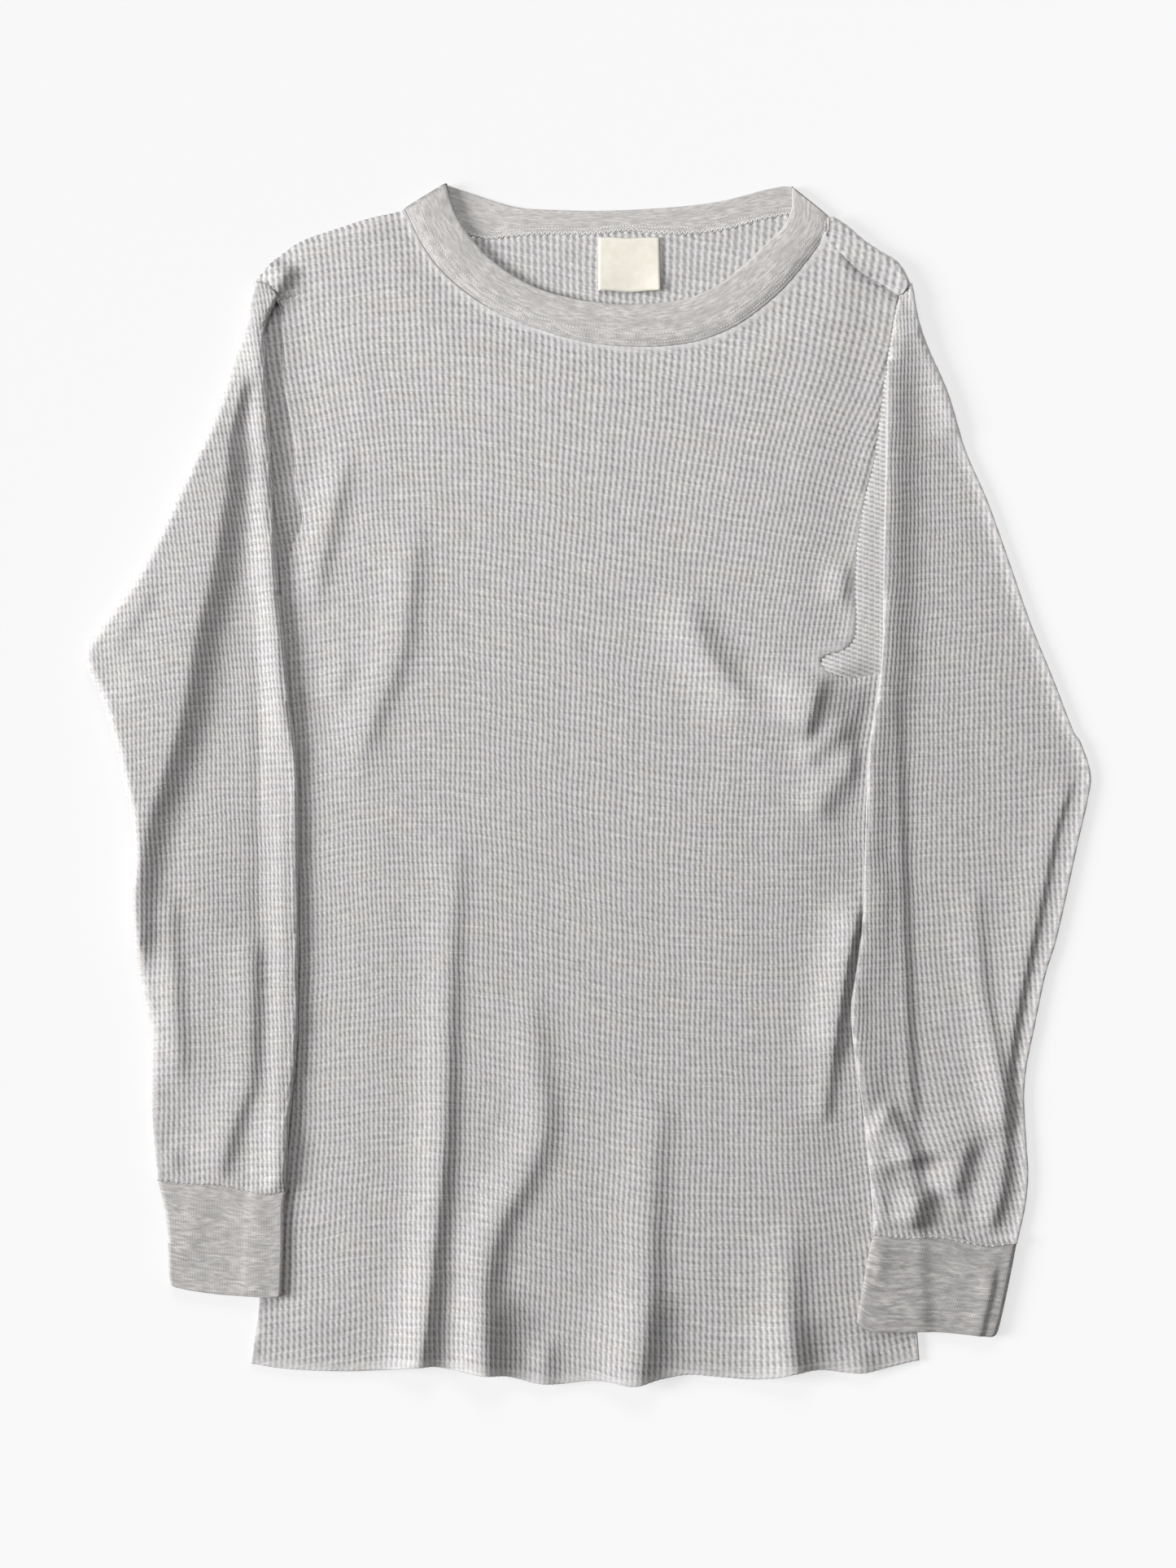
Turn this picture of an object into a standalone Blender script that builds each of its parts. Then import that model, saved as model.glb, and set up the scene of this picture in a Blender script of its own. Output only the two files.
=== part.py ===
"""Long-sleeved waffle-knit thermal top, laid flat on its back with its sleeves folded down beside the body.

Right and left are the wearer's: the right side is at -X and the neck is at +Y. The top lies on z = 0, with its
origin below the middle of its outline. Lengths in this file are millimetres until a mesh is made.

Every piece is a sheet of cloth. A table gives its outline or its cross sections, a grid of points gives its
outer skin, and a Solidify modifier gives the cloth its thickness on the inner side of that skin.
"""

import math
from collections import namedtuple

import bmesh
import bpy
from mathutils import Vector
from mathutils.geometry import delaunay_2d_cdt

MM = 0.001
WELD_DISTANCE = 0.02  # points closer than this are one point

# Cloth
KNIT_WALL = 1.6  # waffle knit of the body and sleeves
BAND_WALL = 1.8  # doubled jersey of the neckband and cuffs
LABEL_WALL = 1.0
SEAM_GAP = 0.3  # between pieces that are sewn together
BAND_GAP = 0.4  # the same for the neckband, along its sections, which lean across the seam

# Levels of the outer skins
FRONT_LEVEL = 2 * KNIT_WALL + SEAM_GAP  # front panel where it lies flat on the back panel
FRONT_LOFT = 1.9  # how far the middle of the front panel stands above that
BAND_LEVEL = 2 * BAND_WALL + 0.7  # front half of the neckband, above its back half
FOLD_HEIGHT = 2 * KNIT_WALL + 0.6  # a sleeve pressed flat, over both of its layers
CUFF_HEIGHT = 2 * BAND_WALL + 0.9  # a cuff pressed flat
OVERLAP_LEVEL = FRONT_LEVEL + SEAM_GAP + 0.1  # underside of a sleeve where it lies on the front panel
SHOULDER_FOLD_LEVEL = 3.9  # back panel where it wraps forward over the left shoulder
FOLD_CLEARANCE = 1.9  # how much further the neckband's folds stay from the body's seam

# Mesh rows
ARMHOLE_ROWS = 10
SIDE_ROWS = 24
BACK_SIDE_ROWS = 7
HEM_COLUMNS = 26
FRONT_SPACING = 17.0
BACK_SPACING = 48.0
FOLD_ANGLES = (0, 45, 90, 135, 180)
INSIDE_ONLY = 1  # delaunay_2d_cdt's output type that keeps what lies inside the outline
SLEEVE_ROWS = 17
CUFF_ROWS = 4
RIGHT_SHOULDER_COLUMNS = 5
NECK_COLUMNS = 14
LEFT_SHOULDER_COLUMNS = 3
SLEEVE_TOP_POINTS = 12
GRID_WIDTH, GRID_HEIGHT = 480.0, 760.0  # what the points inside a panel are laid out over, before it is cut
BORDER_SPACING, POINT_SPACING = 0.5, 0.62  # how near the outline and each other they may be, in spacings
BAND_POINTS = (0.35, 0.7, 1.0)  # across the neckband, as parts of its width

# Sleeve sections, as parts of the strip or width that each one crosses, or in millimetres
STRIP_PARTS = (1.0, 0.6, 0.2)  # points on the strip between the armhole and the folded edge
EDGE_ROUNDING = 0.9  # of the folded edge above that strip, in millimetres
OPEN_FLOOR_PARTS = (0.1, 0.25)  # points under the strip
FLOOR_PARTS = (0.66, 0.33, 0.0)  # points of the underside that rests on the surface
CROWN_FROM_EDGE, CROWN_FROM_OUTER = 0.3, 0.4  # over these parts a sleeve rises to its crown
CREASE_FROM_EDGE, CREASE_FROM_OUTER = 0.15, 0.2  # and over these its creases fade in
RAMP_CLEARANCE, RAMP_LENGTH = 3.0, 9.0  # the underside comes down past the body's side, in millimetres

Point = namedtuple("Point", "x y")

# Front panel, from the right shoulder tip along the shoulder seam, the scooped neckline and the left shoulder seam
RIGHT_SHOULDER = [Point(-199, 291), Point(-188, 306), Point(-164, 323), Point(-127, 335), Point(-108, 339)]
FRONT_NECKLINE = [
    Point(-108, 339),
    Point(-97, 319),
    Point(-79, 299),
    Point(-48, 276),
    Point(-8, 262),
    Point(32, 259),
    Point(72, 266),
    Point(102, 282),
    Point(124, 304),
    Point(139, 324),
]
LEFT_SHOULDER = [Point(139, 324), Point(151, 313), Point(170, 298), Point(185, 288)]

# Back panel: its neckline, and the line where it folds forward over the left shoulder
BACK_NECKLINE = [
    Point(-108, 339),
    Point(-88, 332),
    Point(-65, 326),
    Point(-27, 324),
    Point(42, 324),
    Point(94, 329),
    Point(118, 334),
    Point(141, 335),
]
LEFT_SHOULDER_FOLD = [Point(141, 335), Point(161, 321), Point(181, 307), Point(190, 296)]
LEFT_SHOULDER_OUT = (0.64, 0.77)  # the way that this fold faces
RIGHT_NECK_OUT = (-0.9, 0.42)  # and the way that the neckband's fold at the right shoulder faces

# Neckband, its free edges: the front half from right to left shoulder, and the back half the same way
FRONT_BAND_EDGE = [
    Point(-84, 353),
    Point(-79, 336),
    Point(-67, 316),
    Point(-48, 300),
    Point(-18, 288),
    Point(26, 283),
    Point(68, 291),
    Point(94, 309),
    Point(112, 331),
    Point(119, 347),
]
BACK_BAND_EDGE = [
    Point(-84, 353),
    Point(-61, 344),
    Point(-34, 339),
    Point(6, 338.5),
    Point(42, 341),
    Point(82, 347),
    Point(120, 353),
]

# Side seams, from the hem up to the underarm
RIGHT_SIDE = [
    Point(-200, -341),
    Point(-196, -316),
    Point(-193, -258),
    Point(-190, -162),
    Point(-188, -66),
    Point(-184, 40),
    Point(-182.2, 88),
    Point(-181.1, 97),
    Point(-179.8, 115),
]
LEFT_SIDE = [
    Point(195, -339),
    Point(190, -258),
    Point(184, -162),
    Point(180, -66),
    Point(175.5, 18),
    Point(171.2, 45.2),
    Point(164.3, 54.4),
    Point(156.3, 64.6),
]
HEM = [
    Point(-200, -341),
    Point(-166, -346),
    Point(-126, -345),
    Point(-96, -343),
    Point(-58, -348),
    Point(-21, -354),
    Point(10, -351),
    Point(24, -354),
    Point(59, -349),
    Point(94, -351),
    Point(130, -346),
    Point(165, -347),
    Point(195, -339),
]

# A sleeve's cross sections from the shoulder to the cuff. `seam` is on the armhole and ends at the underarm,
# `edge` is the folded edge beside the body and `outer` the other one. `rise` is how far the folded edge stands
# above the strip of sleeve that shows between it and the armhole, and `crown` is the height of the middle.
Section = namedtuple("Section", "seam_x seam_y edge_x edge_y outer_x outer_y rise crown")
RIGHT_SLEEVE = [
    Section(-184, 286, -185.8, 285.9, -199.2, 290.4, 0.5, 4.2),
    Section(-180, 272, -190, 273, -201, 278, 1.8, 5.2),
    Section(-179, 250, -190, 251, -206, 258, 2.4, 5.8),
    Section(-174, 206, -189, 208, -219, 218, 2.4, 6.2),
    Section(-168, 164, -186, 166, -240, 175, 2.4, 6.6),
    Section(-173, 132, -183, 134, -262, 139, 2.4, 6.6),
    Section(-180.1, 115, -182, 115, -276, 114, 2.4, 6.8),
    Section(-180.5, 97, -180.5, 97, -287, 97, 2.4, 7.0),
    Section(-179, 79, -179, 79, -297, 79, 2.4, 7.0),
    Section(-177, 56, -177, 56, -291, 59, 2.4, 7.2),
    Section(-174, 28, -174, 28, -281, 35, 2.4, 7.2),
    Section(-172, 2, -172, 2, -274, 10, 2.4, 7.0),
    Section(-171, -38, -171, -38, -269, -32, 2.4, 7.0),
    Section(-170, -70, -170, -70, -270, -62, 2.4, 7.0),
    Section(-170, -98, -170, -98, -268, -91, 2.4, 7.2),
    Section(-171, -125, -171, -125, -260, -122, 2.4, 7.2),
    Section(-173, -157, -173, -157, -258, -150, 2.4, 7.0),
    Section(-176, -197, -176, -197, -258, -190, 2.4, 7.0),
    Section(-178, -237, -178, -237, -255, -230, 2.4, 6.6),
]
RIGHT_UNDERARM = 6  # the section at the underarm
LEFT_SLEEVE = [
    Section(185, 288, 186.6, 289.0, 191.2, 294.0, 0.5, 4.2),
    Section(181, 268, 182.5, 268, 196, 271, 1.2, 4.6),
    Section(178, 236, 179.5, 236, 209, 237, 2.0, 5.6),
    Section(175, 196, 176.5, 196, 226, 195, 2.2, 6.0),
    Section(171, 160, 174.5, 160, 240, 159, 2.4, 6.6),
    Section(164, 130, 173, 130, 252, 128, 2.4, 6.8),
    Section(159, 97, 172, 97, 265, 95, 2.4, 6.8),
    Section(156.5, 66, 171, 66, 277, 63, 2.4, 7.0),
    Section(171, 46, 171, 46, 285, 41, 2.4, 7.2),
    Section(169, 16, 169, 16, 297, 6, 2.4, 7.4),
    Section(167.5, -13, 167.5, -13, 294, -21, 2.4, 7.4),
    Section(165, -42, 165, -42, 287, -49, 2.4, 7.2),
    Section(162, -75, 162, -75, 280, -80, 2.4, 7.2),
    Section(161, -112, 161, -112, 271, -116, 2.4, 7.0),
    Section(161, -152, 161, -152, 261, -155, 2.4, 7.0),
    Section(162, -181, 162, -181, 257, -184, 2.4, 7.2),
    Section(165, -209, 165, -209, 258, -211, 2.4, 7.2),
    Section(168, -245, 168, -245, 258, -247, 2.4, 7.0),
    Section(166, -266, 166, -266, 254, -267, 2.4, 6.6),
]
LEFT_UNDERARM = 7

# Cuffs, the same way: from the sleeve to the open end
RIGHT_CUFF = [
    Section(-178, -237.7, -178, -237.7, -255, -230.7, 0, 6.2),
    Section(-180, -262, -180, -262, -249.5, -259, 0, 6.4),
    Section(-181, -283, -181, -283, -248, -280, 0, 6.2),
    Section(-183, -303, -183, -303, -246.5, -297, 0, 5.8),
]
LEFT_CUFF = [
    Section(166, -266.6, 166, -266.6, 254, -267.6, 0, 6.2),
    Section(163, -287, 163, -287, 249.5, -291, 0, 6.4),
    Section(159.5, -304, 159.5, -304, 245.5, -309, 0, 6.2),
    Section(156, -318, 156, -318, 239, -326, 0, 5.8),
]

# How far the front panel must lie flat, because the armholes, sleeves and cuffs are there
Cover = namedtuple("Cover", "y right_x left_x")
COVERED = [
    Cover(-352, -205, 205),
    Cover(-330, -182, 158),
    Cover(-305, -176, 152),
    Cover(-240, -172, 158),
    Cover(-160, -168, 155),
    Cover(-70, -164, 155),
    Cover(0, -166, 160),
    Cover(64, -170, 152),
    Cover(115, -174, 156),
    Cover(165, -163, 166),
    Cover(230, -172, 172),
    Cover(290, -184, 180),
]
COVER_FADE = 24.0  # over which the loft of the front panel dies away beside them
TOP_MARGIN, TOP_FADE = 1.5, 16.0  # the same below the neckband and the shoulder seams

# Creases: soft ridges (height above 0) and troughs (below 0) through three points. `reach` is the half width.
Crease = namedtuple("Crease", "x1 y1 x2 y2 x3 y3 reach height")
CREASE_FADE = 0.18  # the part of a crease over which each end fades
HEM_ZONE = -300.0  # a crease that ends below this runs out over the hem
FRONT_CREASES = [
    # slack that runs down from the chest on the right side
    Crease(-137, 208, -146, 160, -162, 98, 11, -1.3),
    Crease(-152, 205, -158, 165, -166, 140, 9, 1.0),
    Crease(-100, 165, -112, 90, -137, -8, 12, -1.3),
    Crease(-112, 150, -126, 90, -146, 10, 9, 0.9),
    # the long fold down to the hem
    Crease(-72, -22, -80, -120, -94, -341, 9, -1.8),
    Crease(-86, -60, -92, -200, -104, -341, 10, 2.2),
    Crease(-33, -115, -20, -205, -54, -345, 11, -1.8),
    Crease(-48, -190, -38, -260, -66, -345, 10, 1.4),
    Crease(-20, -290, -26, -320, -30, -352, 9, 1.2),
    Crease(49, -171, 42, -260, 34, -351, 11, -1.6),
    Crease(28, -200, 26, -280, 16, -352, 12, 1.6),
    Crease(70, -240, 66, -300, 60, -349, 12, 1.1),
    Crease(125, -230, 126, -290, 130, -345, 12, -1.5),
    Crease(106, -250, 108, -300, 112, -347, 12, 1.0),
    # drag lines from the left underarm
    Crease(51, 108, 70, 68, 97, 38, 12, 1.4),
    Crease(65, 116, 80, 88, 97, 63, 10, -1.1),
    Crease(136, 66, 126, 60, 112, 26, 8, -1.6),
    Crease(148, 22, 142, -5, 126, -16, 9, -1.3),
    # slit of slack beside the left sleeve
    Crease(146, -66, 143, -120, 132, -196, 8, -1.7),
    Crease(133, -76, 130, -120, 122, -160, 10, 1.6),
]
RIGHT_SLEEVE_CREASES = [
    Crease(-203, 246, -210, 160, -228, 90, 11, -1.6),
    Crease(-228, 90, -248, 10, -258, -60, 11, -1.6),
    Crease(-232, 165, -245, 80, -262, -15, 12, 1.6),
    Crease(-194, 250, -194, 130, -190, 30, 10, 1.2),
    Crease(-190, 30, -184, -90, -186, -210, 10, 1.4),
    Crease(-196, -80, -196, -150, -206, -205, 9, -1.7),
    Crease(-245, -55, -240, -120, -236, -190, 10, -1.2),
    Crease(-288, 78, -262, 66, -236, 62, 11, 0.8),
]
LEFT_SLEEVE_CREASES = [
    Crease(200, 236, 195, 140, 192, 55, 10, -1.6),
    Crease(192, 55, 184, -10, 190, -140, 10, -1.6),
    Crease(185, 230, 181, 110, 178, 10, 8, 0.9),
    Crease(178, 10, 172, -70, 172, -150, 8, 0.8),
    Crease(231, -56, 234, -110, 250, -190, 12, -1.5),
    Crease(250, 20, 262, -30, 250, -100, 14, 1.3),
    Crease(175, -188, 196, -204, 190, -222, 9, -1.5),
    Crease(200, -236, 201, -250, 202, -262, 9, -1.4),
    Crease(214, 190, 236, 110, 262, 20, 14, 1.2),
]

# Label: sewn in below the middle of the back neck
LABEL_LEFT, LABEL_RIGHT = 5.5, 41.5
LABEL_TOP, LABEL_BOTTOM = 323.4, 291.5
LABEL_CURL = 1.1  # how far its lower corners lift
LABEL_COLUMNS, LABEL_ROWS = 6, 4

WAFFLE_KNIT = dict(name="waffle_knit", colour=(0.50, 0.495, 0.49), roughness=0.92)
BAND_JERSEY = dict(name="band_jersey", colour=(0.54, 0.53, 0.525), roughness=0.90)
LABEL_WEAVE = dict(name="label_weave", colour=(0.80, 0.76, 0.68), roughness=0.75)


def mix(a, b, t):
    """The value t of the way from a to b."""
    return a + (b - a) * t


def smooth_step(t):
    """0 to 1 with level ends, for t from 0 to 1."""
    t = min(max(t, 0.0), 1.0)
    return t * t * (3 - 2 * t)


class Curve:
    """A smooth curve through the rows of a table, at the row number t; every column is blended."""

    def __init__(self, rows):
        self.rows = [tuple(row) for row in rows]
        self.last = len(rows) - 1

    def at(self, t):
        i = min(int(t), self.last - 1)
        f = t - i
        p1, p2 = self.rows[i], self.rows[i + 1]
        p0 = self.rows[i - 1] if i > 0 else tuple(2 * a - b for a, b in zip(p1, p2))
        p3 = self.rows[i + 2] if i + 2 <= self.last else tuple(2 * b - a for a, b in zip(p1, p2))
        return tuple(
            0.5 * (2 * b + (c - a) * f + (2 * a - 5 * b + 4 * c - d) * f**2 + (3 * b - a - 3 * c + d) * f**3)
            for a, b, c, d in zip(p0, p1, p2, p3)
        )

    def spaced(self, count, start=0, end=None, columns=(0, 1)):
        """count + 1 rows from row start to row end, at equal steps along the line that two columns draw."""
        end = self.last if end is None else end
        fine = 40 * (end - start)
        ts = [mix(start, end, k / fine) for k in range(fine + 1)]
        lengths = [0.0]
        previous = self.at(start)
        for t in ts[1:]:
            here = self.at(t)
            lengths.append(lengths[-1] + math.dist([previous[c] for c in columns], [here[c] for c in columns]))
            previous = here
        spaced_rows = []
        k = 0
        for step in range(count + 1):
            wanted = lengths[-1] * step / count
            while k < fine - 1 and lengths[k + 1] < wanted:
                k += 1
            part = (wanted - lengths[k]) / max(lengths[k + 1] - lengths[k], 1e-9)
            spaced_rows.append(self.at(mix(ts[k], ts[k + 1], min(max(part, 0.0), 1.0))))
        return spaced_rows


def nearest_on(line, x, y):
    """Distance from (x, y) to a line of points, and how far along it the nearest place is, from 0 to 1."""
    nearest, along = math.inf, 0.0
    for i, ((ax, ay), (bx, by)) in enumerate(zip(line, line[1:])):
        length2 = (bx - ax) ** 2 + (by - ay) ** 2
        t = min(max(((x - ax) * (bx - ax) + (y - ay) * (by - ay)) / length2, 0.0), 1.0)
        distance = math.hypot(x - mix(ax, bx, t), y - mix(ay, by, t))
        if distance < nearest:
            nearest, along = distance, (i + t) / (len(line) - 1)
    return nearest, along


def crease_line(crease):
    """The three points that a crease runs through."""
    return [(crease.x1, crease.y1), (crease.x2, crease.y2), (crease.x3, crease.y3)]


def creased(creases, x, y):
    """What all the creases of a piece add at (x, y); they fade to their sides and ends, but run out over the hem."""
    total = 0.0
    for crease in creases:
        distance, along = nearest_on(crease_line(crease), x, y)
        fade = smooth_step(along / CREASE_FADE)
        if crease.y3 > HEM_ZONE:
            fade *= smooth_step((1 - along) / CREASE_FADE)
        total += crease.height * math.exp(-((distance / crease.reach) ** 2)) * fade
    return total


def table_x(rows, y, column=0, height=1):
    """A column of a table at height y, straight between its rows, which go up from the hem."""
    if y <= rows[0][height]:
        return rows[0][column]
    for low, high in zip(rows, rows[1:]):
        if y <= high[height]:
            return mix(low[column], high[column], (y - low[height]) / (high[height] - low[height]))
    return rows[-1][column]


def front_level(x, y):
    """Height of the front panel's skin: level beside its neighbours, and lofted and creased in between."""
    from_right = x - table_x(COVERED, y, column=1, height=0)
    from_left = table_x(COVERED, y, column=2, height=0) - x
    from_top = nearest_on(RIGHT_SHOULDER + FRONT_NECKLINE[1:] + LEFT_SHOULDER[1:], x, y)[0] - TOP_MARGIN
    fade = smooth_step(from_right / COVER_FADE) * smooth_step(from_left / COVER_FADE)
    fade *= smooth_step(from_top / TOP_FADE)
    return FRONT_LEVEL + max(FRONT_LOFT + creased(FRONT_CREASES, x, y), 0.0) * fade


def armhole(sleeve, underarm):
    """The armhole's points from the underarm up to the shoulder, the same ones that the sleeve is sewn to."""
    seam = Curve(sleeve).spaced(ARMHOLE_ROWS, 0, underarm)
    return [row[0:2] for row in reversed(seam)]


def panel_outline(side_rows, neckline, left_shoulder):
    """Points round a body panel, anticlockwise from its right hem corner. left_shoulder runs from the neck."""
    outline = Curve(HEM).spaced(HEM_COLUMNS)[:-1]
    outline += Curve(LEFT_SIDE).spaced(side_rows)[:-1] + armhole(LEFT_SLEEVE, LEFT_UNDERARM)
    outline += left_shoulder[::-1]
    outline += Curve(neckline).spaced(NECK_COLUMNS)[-2:0:-1]
    outline += Curve(RIGHT_SHOULDER).spaced(RIGHT_SHOULDER_COLUMNS)[::-1]
    outline += armhole(RIGHT_SLEEVE, RIGHT_UNDERARM)[::-1] + Curve(RIGHT_SIDE).spaced(side_rows)[-2:0:-1]
    tidy = [outline[0]]
    for point in outline[1:]:
        if math.dist(point, tidy[-1]) > WELD_DISTANCE:
            tidy.append(point)
    return tidy


def panel_skin(outline, spacing, level, creases):
    """A panel's skin as (points, faces): its outline filled in, with points along its creases and between them."""
    inner = []
    for crease in creases:
        middle = crease_line(crease)
        length = math.dist(middle[0], middle[1]) + math.dist(middle[1], middle[2])
        for t in range(1, max(int(length / spacing), 2)):
            inner.append(Curve(middle).at(2 * t * spacing / length)[:2])
    count_x, count_y = int(GRID_WIDTH / spacing), int(GRID_HEIGHT / spacing)
    for j in range(count_y):
        for i in range(count_x):
            inner.append(((i - count_x / 2 + 0.5 * (j % 2)) * spacing, (j - count_y / 2) * spacing))
    kept = []
    border = outline + outline[:1]
    for x, y in inner:
        is_inside = nearest_on(border, x, y)[0] > BORDER_SPACING * spacing
        if is_inside and all(math.dist((x, y), other) > POINT_SPACING * spacing for other in kept):
            kept.append((x, y))
    flat = [Vector(point) for point in outline + kept]
    edges = [(i, (i + 1) % len(outline)) for i in range(len(outline))]
    points, _, faces, _, _, _ = delaunay_2d_cdt(flat, edges, [], INSIDE_ONLY, WELD_DISTANCE / 10)
    return [(x, y, level(x, y)) for x, y in points], faces


def grid_skin(rows):
    """A grid of points as (points, faces)."""
    width = len(rows[0])
    corners = [j * width + i for j in range(len(rows) - 1) for i in range(width - 1)]
    faces = [(c, c + 1, c + width + 1, c + width) for c in corners]
    return [point for row in rows for point in row], faces


def finish_material(finish):
    """The Principled material of a finish, made once."""
    material = bpy.data.materials.get(finish["name"])
    if material is None:
        material = bpy.data.materials.new(finish["name"])
        material.use_nodes = True
        shader = material.node_tree.nodes["Principled BSDF"]
        shader.inputs["Base Color"].default_value = (*finish["colour"], 1.0)
        shader.inputs["Roughness"].default_value = finish["roughness"]
        shader.inputs["Metallic"].default_value = 0.0
    return material


def add_cloth(name, skins, wall, finish):
    """One piece of cloth. skins are (points, faces) of its outer side, and the wall lies inside them."""
    mesh = bpy.data.meshes.new(name)
    bm = bmesh.new()
    for points, faces in skins:
        verts = [bm.verts.new([c * MM for c in point]) for point in points]
        for face in faces:
            bm.faces.new([verts[i] for i in face])
    bmesh.ops.remove_doubles(bm, verts=bm.verts, dist=WELD_DISTANCE * MM)
    bm.to_mesh(mesh)
    bm.free()
    mesh.shade_smooth()
    mesh.materials.append(finish_material(finish))
    cloth = bpy.data.objects.new(name, mesh)
    bpy.context.scene.collection.objects.link(cloth)
    thickness = cloth.modifiers.new("wall", "SOLIDIFY")
    thickness.thickness = wall * MM
    thickness.offset = -1
    thickness.use_rim = True


def build_front_panel():
    """Front of the body: lofted and creased over the back panel."""
    outline = panel_outline(SIDE_ROWS, FRONT_NECKLINE, Curve(LEFT_SHOULDER).spaced(LEFT_SHOULDER_COLUMNS))
    skin = panel_skin(outline, FRONT_SPACING, front_level, FRONT_CREASES)
    add_cloth("front_panel", [skin], KNIT_WALL, WAFFLE_KNIT)


def build_back_panel():
    """Back of the body: flat on the surface, and folded forward over the left shoulder to meet the front."""
    radius = SHOULDER_FOLD_LEVEL / 2
    out_x, out_y = LEFT_SHOULDER_OUT
    fold_line = Curve(LEFT_SHOULDER_FOLD).spaced(LEFT_SHOULDER_COLUMNS)

    def fold_row(angle):
        """The points of the forward fold that lie at an angle round it, from 0 below to 180 above."""
        turn = math.radians(angle)
        swing = radius * (math.sin(turn) - 1)
        return [(x + swing * out_x, y + swing * out_y, radius - radius * math.cos(turn)) for x, y in fold_line]

    outline = panel_outline(BACK_SIDE_ROWS, BACK_NECKLINE, [point[:2] for point in fold_row(0)])
    points, faces = panel_skin(outline, BACK_SPACING, lambda x, y: 0.0, [])
    forward = [fold_row(angle) for angle in FOLD_ANGLES]
    forward.append(
        [
            (x + SEAM_GAP * out_x, y + SEAM_GAP * out_y, SHOULDER_FOLD_LEVEL)
            for x, y in Curve(LEFT_SHOULDER).spaced(LEFT_SHOULDER_COLUMNS)
        ]
    )
    skins = [(points, [face[::-1] for face in faces]), grid_skin(forward[::-1])]
    add_cloth("back_panel", skins, KNIT_WALL, WAFFLE_KNIT)


def sleeve_section(row, is_open, side, wall_height, side_line, creases):
    """One cross section of a sleeve or cuff as outer skin points: up its folded edge, over, and back below.

    side is -1 for the right arm and 1 for the left. An open section starts on the front armhole seam and ends
    on the back one. A closed one lies with its inner edge on the front panel and starts and ends there.
    """
    s = Section(*row)
    width = math.dist((s.edge_x, s.edge_y), (s.outer_x, s.outer_y))
    out_x, out_y = (s.outer_x - s.edge_x) / width, (s.outer_y - s.edge_y) / width
    radius = wall_height / 2
    floor_end = width - radius
    turns = [math.radians(angle) for angle in FOLD_ANGLES]

    def place(along, z):
        """The point that lies so far from the folded edge, towards the outer one."""
        return (s.edge_x + out_x * along, s.edge_y + out_y * along, z)

    if is_open:
        under = 0.0
        strip = math.dist((s.seam_x, s.seam_y), (s.edge_x, s.edge_y)) - SEAM_GAP
        inner_end, first_along = -strip, EDGE_ROUNDING
        head, foot = (mix(inner_end, floor_end, part) for part in OPEN_FLOOR_PARTS)
        start = [place(-strip * part, FRONT_LEVEL) for part in STRIP_PARTS]
        start += [place(0.0, FRONT_LEVEL + s.rise / 2), place(EDGE_ROUNDING, FRONT_LEVEL + s.rise)]
    else:
        under = OVERLAP_LEVEL
        inner_end = first_along = radius
        body_edge = (table_x(side_line, s.edge_y) - s.edge_x) / out_x
        head = max(body_edge + RAMP_CLEARANCE, inner_end + RAMP_CLEARANCE / 2)
        foot = head + RAMP_LENGTH
        start = [place(radius - radius * math.sin(t), under + radius - radius * math.cos(t)) for t in turns]
    top = []
    for k in range(1, SLEEVE_TOP_POINTS + 1):
        u = k / (SLEEVE_TOP_POINTS + 1)
        along = mix(first_along, floor_end, u)
        x, y, _ = place(along, 0.0)
        if u < 0.5:
            z = mix(start[-1][2], s.crown, smooth_step(u / CROWN_FROM_EDGE))
        else:
            z = mix(wall_height, s.crown, smooth_step((1 - u) / CROWN_FROM_OUTER))
        z += creased(creases, x, y) * smooth_step(u / CREASE_FROM_EDGE) * smooth_step((1 - u) / CREASE_FROM_OUTER)
        lifted = under * smooth_step((foot - along) / RAMP_LENGTH)
        top.append((x, y, max(z, lifted + wall_height)))
    outer = [place(floor_end + radius * math.sin(t), radius + radius * math.cos(t)) for t in turns]
    below = [place(mix(foot, floor_end, part), 0.0) for part in FLOOR_PARTS]
    below += [place(mix(foot, head, 0.5), under / 2), place(head, under), place(inner_end, under)]
    section = start + top + outer + below
    return section if side < 0 else section[::-1]


def build_sleeve(name, table, underarm, side, side_line, creases):
    """A sleeve: open towards the armhole down to the underarm, and a flat tube from there to the cuff."""
    curve = Curve(table)
    open_rows = curve.spaced(ARMHOLE_ROWS, 0, underarm)
    tube_rows = curve.spaced(SLEEVE_ROWS, underarm, None, columns=(2, 3))[1:]
    rows = [sleeve_section(row, True, side, FOLD_HEIGHT, side_line, creases) for row in open_rows]
    rows += [sleeve_section(row, False, side, FOLD_HEIGHT, side_line, creases) for row in tube_rows]
    add_cloth(name, [grid_skin(rows)], KNIT_WALL, WAFFLE_KNIT)


def build_cuff(name, table, side, side_line):
    """A cuff: a short flat tube, open at both ends."""
    table_rows = Curve(table).spaced(CUFF_ROWS, columns=(2, 3))
    rows = [sleeve_section(row, False, side, CUFF_HEIGHT, side_line, []) for row in table_rows]
    add_cloth(name, [grid_skin(rows)], BAND_WALL, BAND_JERSEY)


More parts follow.
